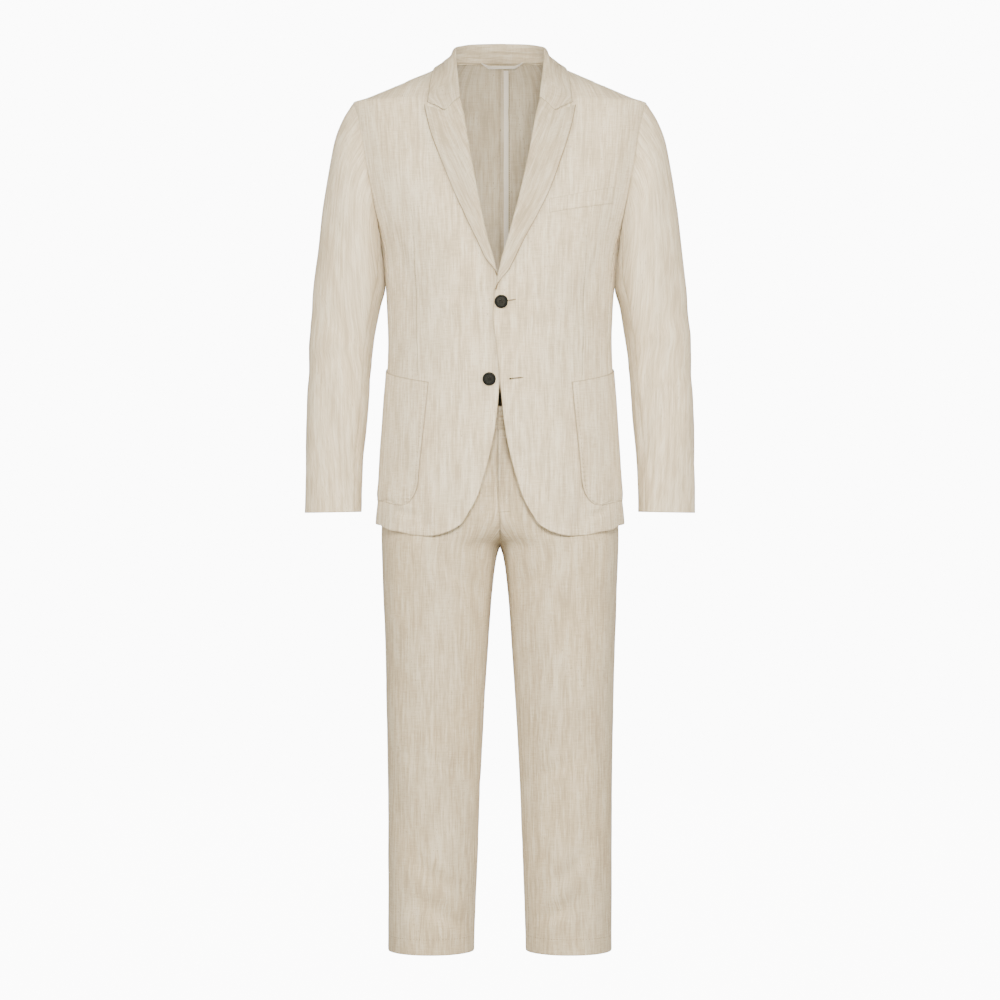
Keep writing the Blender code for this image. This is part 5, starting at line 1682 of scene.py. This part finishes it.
@dataclass
class Trousers:
    """The legs, the waistband and the fly."""

    form: LegForm
    linen: bpy.types.Material
    inside: bpy.types.Material
    hem_z: float = -1.3722
    waist_z: float = -0.5330
    band_z: float = -0.5680
    fly_end_z: float = -0.6860
    fly_shield: tuple[float, float] = (-0.030, 0.016)
    fly_clear: float = 0.0020
    crotch_close: float = 0.0013
    step: float = 0.0048

    def leg(self, side: Side, ahead: bool) -> Cloth:
        """The front or back of one leg, from the waistband to the hem."""
        form = self.form
        z = mix(self.hem_z, self.band_z - SEAM, spread(0.80, self.step))[:, None]
        share = spread(0.21, self.step)[None, :]
        grid = form.point(z, share, ahead, 0.0, side)
        half_seam = -ROUND_SEAM / 2 if ahead else ROUND_SEAM / 2
        edge = (1 - share) ** 3
        shift = form.fly_shift(z) * side.value * edge if ahead else 0.0
        above = ease((z - form.crotch_z) / 0.004 + 0.5)
        close = self.crotch_close * np.exp(-(((z - form.crotch_z) / 0.012) ** 2))
        grid[..., 0] += (CLEAR / 4 * edge + shift) * above - close * edge
        grid[..., 1] += half_seam * share**6 + half_seam * edge * (1 - above)
        grid = mirrored(grid, side)
        depth = form.front(z) if ahead else form.back(z)
        across = grid[..., 0] * side.value
        outer = np.sign(across - (form.out(z) + form.inner(z)) / 2)
        round_off = across + outer * (depth - np.abs(grid[..., 1]))
        warp = np.stack([round_off, z + 0 * round_off], axis=-1)
        word = "front" if ahead else "back"
        edges = (Edge.FOLDED, Edge.SEAM, Edge.SEAM, Edge.SEAM)
        outward = np.array([0.0, -1.0 if ahead else 1.0, 0.0])
        along = (9.0 + side.value * 0.6 + (0.0 if ahead else 2.5), 0.0)
        reach = (0.0, 0.0004, 0.0007, 0.0008)
        return Cloth(f"linen_leg_{word}_{side.word}", grid, CLOTH, outward, edges, warp, along, reach)

    def band(self, side: Side) -> Cloth:
        """Half of the waistband, from the fly round the side to the centre of the back."""
        share = spread(0.20, 0.0045)
        z = mix(self.band_z, self.waist_z, spread(0.035, 0.004))[:, None]
        halves = []
        for ahead, part in ((True, share), (False, share[::-1][1:])):
            place = self.form.point(z, part[None, :], ahead, 0.0006, side)
            place[..., 0] = np.maximum(place[..., 0], 0.0)
            shift = self.form.fly_shift(z) * side.value if ahead else 0.0
            place[..., 0] += (shift + SEAM / 2) * (1 - part[None, :]) ** 3
            place[..., 2] = z
            halves.append(place)
        grid = mirrored(np.concatenate(halves, axis=1), side)
        down, over = lengths(grid, 0), lengths(grid, 1)
        outward = np.array([float(side.value), 0.0, 0.0])
        edges = (Edge.SEAM, Edge.FOLDED, Edge.FOLDED, Edge.SEAM)
        warp = np.stack([down, over], axis=-1)
        shift = (13.0 + side.value, 0.0)
        return Cloth(f"linen_waistband_{side.word}", grid, CLOTH, outward, edges, warp, shift)

    def shield(self) -> Cloth:
        """The strip behind the fly."""
        z = mix(self.fly_end_z, self.band_z - SEAM - self.fly_clear, spread(0.115, 0.005))[:, None]
        x = mix(*self.fly_shield, spread(0.046, 0.004))[None, :]
        out, inner, front = self.form.out(z), self.form.inner(z), self.form.front(z)
        reach = ((out + inner) / 2 - np.abs(x)) / ((out - inner) / 2)
        y = -front * (1 - np.abs(reach) ** self.form.roundness) ** (1 / self.form.roundness)
        grid = points(x, y + CLOTH + self.fly_clear, z)
        edges = (Edge.FREE,) * 4
        return Cloth("linen_fly_shield", grid, FACING, FORWARD, edges, None, (14.6, 0.0))

    def build(self) -> None:
        """Makes the legs, the waistband and the fly shield."""
        for side in Side:
            word = side.word
            for cloth, node in (
                (self.leg(side, True), "trouser_front"),
                (self.leg(side, False), "trouser_back"),
                (self.band(side), "waistband"),
            ):
                made = cloth.build(self.linen, self.inside)
                dress(made, [f"{node}_{word}"])
        made = self.shield().build(self.linen, self.inside)
        dress(made, ["fly_shield"])


@dataclass
class Tapes:
    """The hanger loop, and the tape that binds the seam down the inside of the back."""

    jacket: Jacket
    tape: bpy.types.Material
    centre_x: float = 0.003
    half: float = 0.032
    turn: float = 0.010
    width: float = 0.0044
    top_z: float = 0.0082
    rise: float = 0.0030
    hang: float = 0.0042
    end: float = 0.0016
    tape_x: tuple[float, float] = (0.0060, 0.0135)
    tape_top_z: float = 0.0002
    tape_clear: float = 0.0008

    def inside(self, x: Array, z: Array, inset: Number) -> Array:
        """Points on the inside of the back, clear of its cloth."""
        form = self.jacket.form
        side = Side.LEFT
        place = form.point(z, form.turn_at(z, np.abs(x), True), -CLOTH - CLEAR - inset, side)
        place[..., 0] = np.where(x < 0, -place[..., 0], place[..., 0])
        return place

    def build(self) -> None:
        """Makes the two pieces."""
        inward = FORWARD
        x = mix(-self.half, self.half, spread(2 * self.half, 0.0015))[None, :]
        low = np.linspace(0, 1, 6)[:, None]
        rise = np.maximum(np.abs(x) - (self.half - self.turn), 0.0) / self.turn
        wide = self.width * (1 - 0.65 * rise)
        z = self.top_z + self.rise * rise - wide * (1 - low)
        grid = self.inside(x + self.centre_x + 0 * z, z, self.hang - (self.hang - self.end) * rise)
        loop = Cloth("tape_hanger_loop", grid, TAPE, inward, (Edge.FREE,) * 4)
        made, on = loop.build(self.tape, self.tape), ("jacket_back_left",)
        dress(made, ["hanger_loop"])
        bottom = self.jacket.back_hem_z + 0.004
        z = mix(bottom, self.tape_top_z, spread(0.70, 0.0045))[:, None]
        x = mix(*self.tape_x, np.linspace(0, 1, 6))[None, :]
        grid = self.inside(x + 0 * z, z + 0 * x, TAPE + self.tape_clear)
        strip = Cloth("tape_back_seam", grid, TAPE, inward, (Edge.FREE,) * 4)
        made = strip.build(self.tape, self.tape)
        dress(made, ["back_seam_tape"])


@dataclass(frozen=True)
class Stitch:
    """One kind of stitch: from one to the next, its half length and its half width, in metres."""

    pitch: float
    length: float
    width: float


BUTTONHOLE_STITCH = Stitch(0.00055, 0.00036, 0.00042)
POCKET_STITCH = Stitch(0.0034, 0.0011, 0.00030)
DART_STITCH = Stitch(0.0030, 0.0015, 0.00036)
HEM_STITCH = Stitch(0.0050, 0.0014, 0.00034)
INSEAM_STITCH = Stitch(0.0036, 0.0014, 0.00032)
FLY_STITCH = Stitch(0.0030, 0.0011, 0.00022)
BAR_STITCH = Stitch(0.0016, 0.0009, 0.00042)
# Touching dashes for the painted shadow beside the back tape
TAPE_SHADOW_DASH = Stitch(0.0030, 0.0015, 0.0007)


@dataclass
class Sewing:
    """Buttonholes, button thread, and the rows of stitches that show.

    A buttonhole and a dart are given by x and z, and a row on a leg by share and z. The row of dark dashes
    beside the back tape is a painted shadow.
    """

    jacket: Jacket
    tapes: Tapes
    legs: LegForm
    stitch_and_shadow_thread: bpy.types.Material
    dark_thread: bpy.types.Material
    top_hole: tuple[Place, Place] = ((-0.0010, -0.3778), (0.0228, -0.3738))
    lower_hole: tuple[Place, Place] = ((0.0146, -0.4933), (0.0342, -0.4911))
    dart: tuple[Place, ...] = ((0.1309, -0.2748), (0.1275, -0.3800), (0.1248, -0.4882))
    hem: tuple[Place, ...] = ((0.03, -1.3476), (0.97, -1.3476))
    inseam: tuple[Place, ...] = ((0.125, -0.860), (0.135, -1.345))
    fly: tuple[Place, ...] = ((0.24, -0.575), (0.23, -0.640), (0.18, -0.672), (0.03, -0.690))
    fly_bar: tuple[Place, ...] = ((0.0, -0.6945), (0.20, -0.6930))
    # Where the painted shadow beside the back tape runs
    tape_shadow_x: float = 0.0146
    tape_shadow_z: Place = (-0.004, -0.690)
    pocket_inset: float = 0.0046
    knot_radius: float = 0.0034
    hole_gap: float = 0.0016
    thread_radius: float = 0.00045
    thread_length: float = 0.0044
    thread_sunk: float = 0.0010
    knot_thick: float = 0.0006
    knot_sunk: float = 0.0004
    ring_width: float = 0.0022
    slit_width: float = 0.0011
    slit_thick: float = 0.0006
    slit_lift: float = 0.0004
    eye_size: tuple[float, float, float] = (0.0028, 0.0026, 0.0010)
    eye_place: Place = (0.0006, 0.0008)

    def oval(self, name: str, shape: Array, finish: bpy.types.Material) -> bpy.types.Object:
        """One closed oval thread, from a small ball.

        Args:
            name: The piece's name.
            shape: Its middle, and its three half axes, as four rows.
            finish: Its material.

        Returns:
            The new object.
        """
        bpy.ops.object.select_all(action="DESELECT")
        bpy.ops.mesh.primitive_uv_sphere_add(segments=8, ring_count=5, radius=1.0)
        made = bpy.context.active_object
        made.name = made.data.name = name
        place = np.zeros(len(made.data.vertices) * 3)
        made.data.vertices.foreach_get("co", place)
        made.data.vertices.foreach_set("co", (shape[0] + place.reshape(-1, 3) @ shape[1:]).reshape(-1))
        made.data.update()
        bpy.ops.object.shade_smooth()
        made.data.materials.append(finish)
        return made

    def row(self, name: str, path: Array, outward: Array, kind: Stitch, slot: str = "jacket_linen") -> None:
        """A row of stitches along a path: one stitch, copied and joined.

        Args:
            name: The piece's name.
            path: Points on the cloth's outer face.
            outward: The outward direction at each point.
            kind: The kind of stitch.
            slot: Not used.
        """
        run = np.concatenate([[0.0], np.cumsum(np.linalg.norm(np.diff(path, axis=0), axis=1))])
        at = np.arange(kind.pitch / 2, run[-1], kind.pitch)
        at = at + 0.08 * kind.pitch * np.sin(at * 2100.0)
        centre, ahead, out = (
            np.stack([np.interp(spot, run, part) for part in line.T], axis=-1)
            for line, spot in ((path, at), (path, at + 1e-4), (outward, at))
        )
        along = unit(ahead - centre)
        out = unit(out - along * np.sum(out * along, axis=-1, keepdims=True))
        first = self.oval(name, np.array([np.zeros(3), *np.eye(3)]), self.stitch_and_shadow_thread)
        ball = np.zeros(len(first.data.vertices) * 3)
        first.data.vertices.foreach_get("co", ball)
        made = [first]
        for _ in range(len(at) - 1):
            copy = first.copy()
            copy.data = first.data.copy()
            bpy.context.collection.objects.link(copy)
            made.append(copy)
        for i, stitch in enumerate(made):
            aside = np.cross(out[i], along[i])
            axes = np.array([along[i] * kind.length, aside * kind.width, out[i] * kind.width])
            place = centre[i] + out[i] * kind.width * 0.35 + ball.reshape(-1, 3) @ axes
            stitch.data.vertices.foreach_set("co", place.reshape(-1))
            stitch.data.update()
        bpy.ops.object.select_all(action="DESELECT")
        for stitch in made:
            stitch.select_set(True)
        bpy.context.view_layer.objects.active = first
        bpy.ops.object.join()
        first.name = first.data.name = name
        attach(first, "root")
        log.info("%s: %d stitches", name, len(made))

    def on_torso(self, x: Array, z: Array, side: Side, lift: Number) -> tuple[Array, Array]:
        """Points on a front and the outward directions there."""
        base = self.jacket.on_front(x, z, side, lift)
        return base, unit(self.jacket.on_front(x, z, side, np.asarray(lift) + 0.001) - base)

    def torso_row(self, name: str, side: Side, places: tuple[Place, ...], kind: Stitch) -> None:
        """A row of stitches on a front, through points given by x and z."""
        keys = np.array(places)
        share = np.linspace(0, len(keys) - 1, 60)
        x, z = (np.interp(share, range(len(keys)), column) for column in keys.T)
        self.row(name, *self.on_torso(x, z, side, 0.0), kind)

    def fasten(self, piece: bpy.types.Object) -> None:
        """Makes a piece ride with the suit."""
        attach(piece, "root")

    def buttonhole(self, name: str, places: tuple[Place, Place], eye: bool) -> None:
        """A worked buttonhole: a ring of thread, and near-black ovals for the slit and for the round eye at
        its inner end, painted shade in the open hole.
        """
        ends, out = self.on_torso(*np.array(places).T, Side.LEFT, 0.0)
        middle, along, up = ends.mean(axis=0), unit(ends[1] - ends[0]), unit(out.mean(axis=0))
        half = np.linalg.norm(ends[1] - ends[0]) / 2
        aside = np.cross(up, along)
        share = np.linspace(0, 2 * math.pi, 90)
        oval = np.stack([np.cos(share) * half * 1.06, np.sin(share) * self.ring_width / 2], axis=-1)
        path = middle + oval[:, :1] * along + oval[:, 1:] * aside
        self.row(f"{name}_edge", path, np.repeat(up[None], 90, axis=0), BUTTONHOLE_STITCH)
        wide, thick = aside * self.slit_width / 2, up * self.slit_thick / 2
        slit = np.array([middle + up * self.slit_lift, along * half * 0.98, wide, thick])
        # Painted shade: a near-black oval in the open slit.
        self.fasten(self.oval(f"{name}_slit", slit, self.dark_thread))
        if eye:
            # Painted shade: a near-black oval in the open eye.
            at = ends[0] + along * self.eye_place[0] + up * self.eye_place[1]
            axes = (axis * size / 2 for axis, size in zip((along, aside, up), self.eye_size))
            ball = np.array([at, *axes])
            self.fasten(self.oval(f"{name}_eye", ball, self.dark_thread))

    def button_thread(self, name: str, node: str) -> None:
        """Two bars of dark thread across the holes of a button, and the knot behind it."""
        low, high = (np.array(corner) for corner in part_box(node))
        middle, round_by = (low + high) / 2, self.knot_radius
        centre = [middle[0], high[1] - self.knot_sunk, middle[2]]
        knot = np.array([centre, [round_by, 0, 0], [0, 0, round_by], [0, self.knot_thick / 2, 0]])
        self.fasten(self.oval(f"{name}_knot", knot, self.dark_thread))
        thick = self.thread_radius
        for i, x in enumerate((-self.hole_gap, self.hole_gap)):
            centre = [middle[0] + x, low[1] + self.thread_sunk, middle[2]]
            bar = np.array([centre, [thick, 0, 0], [0, 0, self.thread_length / 2], [0, thick, 0]])
            self.fasten(self.oval(f"{name}_{i + 1}", bar, self.dark_thread))

    def pocket_rows(self, side: Side) -> None:
        """The stitching round the sides and foot of a pocket."""
        flat = self.jacket.pocket(side).grid
        down, over = lengths(flat, 0), lengths(flat, 1)
        inset, path = self.pocket_inset, []
        rows, columns = flat.shape[:2]
        foot = [int(np.argmin(np.abs(down[:, j] - inset))) for j in range(columns)]
        for i in range(rows - 1, foot[6], -1):
            path.append(flat[i, int(np.argmin(np.abs(over[i] - inset)))])
        start = int(np.argmin(np.abs(over[foot[6]] - inset)))
        for j in range(start, columns - start):
            path.append(flat[foot[j], j])
        for i in range(foot[6], rows):
            path.append(flat[i, int(np.argmin(np.abs(over[i, -1] - over[i] - inset)))])
        path = np.array(path)
        keep = np.concatenate([[True], np.linalg.norm(np.diff(path, axis=0), axis=1) > 1e-5])
        padded = np.pad(path[keep], ((2, 2), (0, 0)), mode="edge")
        kernel = np.ones(5) / 5
        smooth = np.stack([np.convolve(part, kernel, "valid") for part in padded.T], axis=-1)
        out = smooth * np.array([1.0, 1.0, 0.0])
        self.row(f"pocket_stitches_{side.word}", smooth, unit(out), POCKET_STITCH)

    def leg_row(self, name: str, side: Side, ahead: bool, places: tuple[Place, ...], kind: Stitch) -> None:
        """A row of stitches on a leg, through points given by share and z."""
        keys = np.array(places)
        at = np.linspace(0, len(keys) - 1, 80)
        share, z = (np.interp(at, range(len(keys)), column) for column in keys.T)
        path = mirrored(self.legs.point(z, share, ahead, 0.0, side), side)
        out = unit(mirrored(self.legs.point(z, share, ahead, 0.001, side), side) - path)
        self.row(name, path, out, kind, "trouser_linen")

    def build(self) -> None:
        """Makes all the sewing, and the painted shadow beside the back tape."""
        self.buttonhole("buttonhole_top", self.top_hole, False)
        self.buttonhole("buttonhole_lower", self.lower_hole, True)
        self.button_thread("button_thread_top", "button_top")
        self.button_thread("button_thread_lower", "button_lower")
        for side in Side:
            self.pocket_rows(side)
            self.torso_row(f"dart_{side.word}", side, self.dart, DART_STITCH)
            for ahead, word in ((True, "front"), (False, "back")):
                half = f"{word}_{side.word}"
                self.leg_row(f"trouser_hem_stitches_{half}", side, ahead, self.hem, HEM_STITCH)
                self.leg_row(f"inseam_stitches_{half}", side, ahead, self.inseam, INSEAM_STITCH)
        self.leg_row("fly_stitches", Side.LEFT, True, self.fly, FLY_STITCH)
        # Painted shadow: touching dark dashes along the back tape's right edge, where the tape casts its
        # shadow.
        x, z = np.full(60, self.tape_shadow_x), np.linspace(*self.tape_shadow_z, 60)
        path = self.tapes.inside(x, z, 0.0)
        out = path - self.tapes.inside(x, z, -0.001)
        self.row("back_seam_stitches", path, unit(out), TAPE_SHADOW_DASH)
        self.leg_row("fly_bar", Side.LEFT, True, self.fly_bar, BAR_STITCH)


@dataclass
class Studio:
    """The white floor and wall, the soft lights and the camera."""

    centre_z: float = -0.676
    camera_y: float = -4.8
    lens: float = 111.5
    floor_z: float = -1.475
    radius: float = 9.0
    height: float = 9.0
    sweep: float = 2.0
    white: float = 11.0
    warm: Colour = (1.0, 0.90, 0.70)
    key: float = 124.0
    fill: float = 45.0
    side: float = 100.0
    rear: float = 260.0
    sky: float = 0.34

    def backdrop(self) -> None:
        """A round white room whose floor turns up into its wall, and which lights nothing."""
        bpy.ops.object.select_all(action="DESELECT")
        bpy.ops.mesh.primitive_cylinder_add(
            vertices=96, radius=self.radius, depth=self.height,
            location=(0, 0, self.floor_z + self.height / 2),
        )
        made = bpy.context.active_object
        made.name = made.data.name = "studio_room"
        bpy.ops.object.transform_apply(location=True)
        bpy.ops.object.mode_set(mode="EDIT")
        bpy.ops.mesh.select_all(action="SELECT")
        bpy.ops.mesh.flip_normals()
        bpy.ops.object.mode_set(mode="OBJECT")
        curve = made.modifiers.new("sweep", "BEVEL")
        curve.width, curve.segments = self.sweep, 12
        bpy.ops.object.modifier_apply(modifier=curve.name)
        bpy.ops.object.shade_smooth()
        shader = Shader("studio_white", (0.05, 0.05, 0.05), 0.9)
        shader.set("Emission Color", (1.0, 1.0, 1.0, 1.0))
        shader.set("Emission Strength", self.white)
        made.data.materials.append(shader.material)
        made.visible_diffuse = made.visible_glossy = made.visible_shadow = False

    def light(self, name: str, place: tuple[float, float, float], size: float, power: float) -> None:
        """A large soft light that looks at the suit."""
        bpy.ops.object.select_all(action="DESELECT")
        bpy.ops.object.light_add(type="AREA", location=place)
        lamp = bpy.context.active_object
        lamp.name = name
        lamp.data.shape, lamp.data.size, lamp.data.energy = "SQUARE", size, power
        lamp.data.color = self.warm
        lamp.visible_camera = False
        aim = Vector((0.0, 0.0, self.centre_z)) - Vector(place)
        lamp.rotation_euler = aim.to_track_quat("-Z", "Y").to_euler()

    def build(self) -> None:
        """Sets up the studio."""
        self.backdrop()
        self.light("high_soft_light", (0.15, -2.7, 0.35), 0.8, self.key)
        self.light("left_soft_light", (-2.8, -2.2, 0.0), 0.9, self.side)
        self.light("right_soft_light", (2.8, -2.2, 0.0), 0.9, self.side)
        self.light("rear_soft_light", (0.0, 3.6, 0.3), 2.4, self.rear)
        self.light("front_soft_light", (0.0, -4.3, -0.6), 2.2, self.fill)
        world = bpy.context.scene.world or bpy.data.worlds.new("studio_world")
        bpy.context.scene.world = world
        world.use_nodes = True
        ground = world.node_tree.nodes["Background"]
        ground.inputs["Color"].default_value = (*self.warm, 1.0)
        ground.inputs["Strength"].default_value = self.sky
        bpy.ops.object.camera_add(
            location=(0.0, self.camera_y, self.centre_z), rotation=(math.radians(90), 0.0, 0.0)
        )
        camera = bpy.context.active_object
        camera.name = "photo_camera"
        camera.data.lens, camera.data.sensor_width = self.lens, 36.0
        bpy.context.scene.camera = camera


def main() -> None:
    """Builds the suit and the studio in order."""
    logging.basicConfig(level=logging.INFO, format="%(message)s")
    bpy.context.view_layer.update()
    finish = LinenFinish(
        "jacket_linen_cloth",
        middle=(0.655, 0.594, 0.490),
        pale=(0.789, 0.737, 0.637),
        dark=(0.520, 0.450, 0.350),
        warm=(0.657, 0.578, 0.455),
    )
    jacket_linen = finish.material()
    # The same linen at 0.8 of its colour: painted shade for the lapels, collar and stand.
    painted_shade_linen = replace(finish, name="folded_linen_cloth", tone=0.80).material()
    trouser_linen = LinenFinish(
        "trouser_linen_cloth",
        middle=(0.572, 0.509, 0.403),
        pale=(0.691, 0.633, 0.526),
        dark=(0.450, 0.377, 0.282),
        warm=(0.575, 0.494, 0.368),
    ).material()
    # The jacket's wrong side, darker than its right side: painted shade for the dim inside of the jacket.
    jacket_inside_painted_shade = LinenFinish(
        "jacket_linen_inside",
        middle=(0.545, 0.500, 0.425),
        pale=(0.635, 0.592, 0.520),
        dark=(0.450, 0.400, 0.325),
        warm=(0.548, 0.490, 0.402),
    ).material()
    trouser_inside = LinenFinish(
        "trouser_linen_inside",
        middle=(0.560, 0.515, 0.440),
        pale=(0.640, 0.600, 0.530),
        dark=(0.475, 0.420, 0.345),
        warm=(0.560, 0.500, 0.415),
    ).material()
    torso = TorsoForm()
    jacket = Jacket(torso, jacket_linen, painted_shade_linen, jacket_inside_painted_shade)
    jacket.build()
    Collar(jacket).build()
    Sleeves(SleeveForm(torso), jacket_linen, jacket_inside_painted_shade).build()
    Trousers(LegForm(), trouser_linen, trouser_inside).build()
    tapes = Tapes(jacket, TapeFinish().material())
    tapes.build()
    # Sewing thread, also the colour of the painted shadow beside the back tape
    stitch_and_shadow_thread = ThreadFinish("linen_thread", (0.28, 0.225, 0.165)).material()
    # Dark thread for the buttons, also the painted shade in the buttonholes' slits and eyes
    dark_thread = ThreadFinish("dark_thread", (0.014, 0.012, 0.010), 0.0).material()
    Sewing(jacket, tapes, LegForm(), stitch_and_shadow_thread, dark_thread).build()
    resin = ResinFinish().material()
    for name in ("button_top", "button_lower"):
        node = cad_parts[name]
        for slot in node.material_slots:
            slot.material = resin
    Studio().build()


if __name__ == "__main__":
    main()
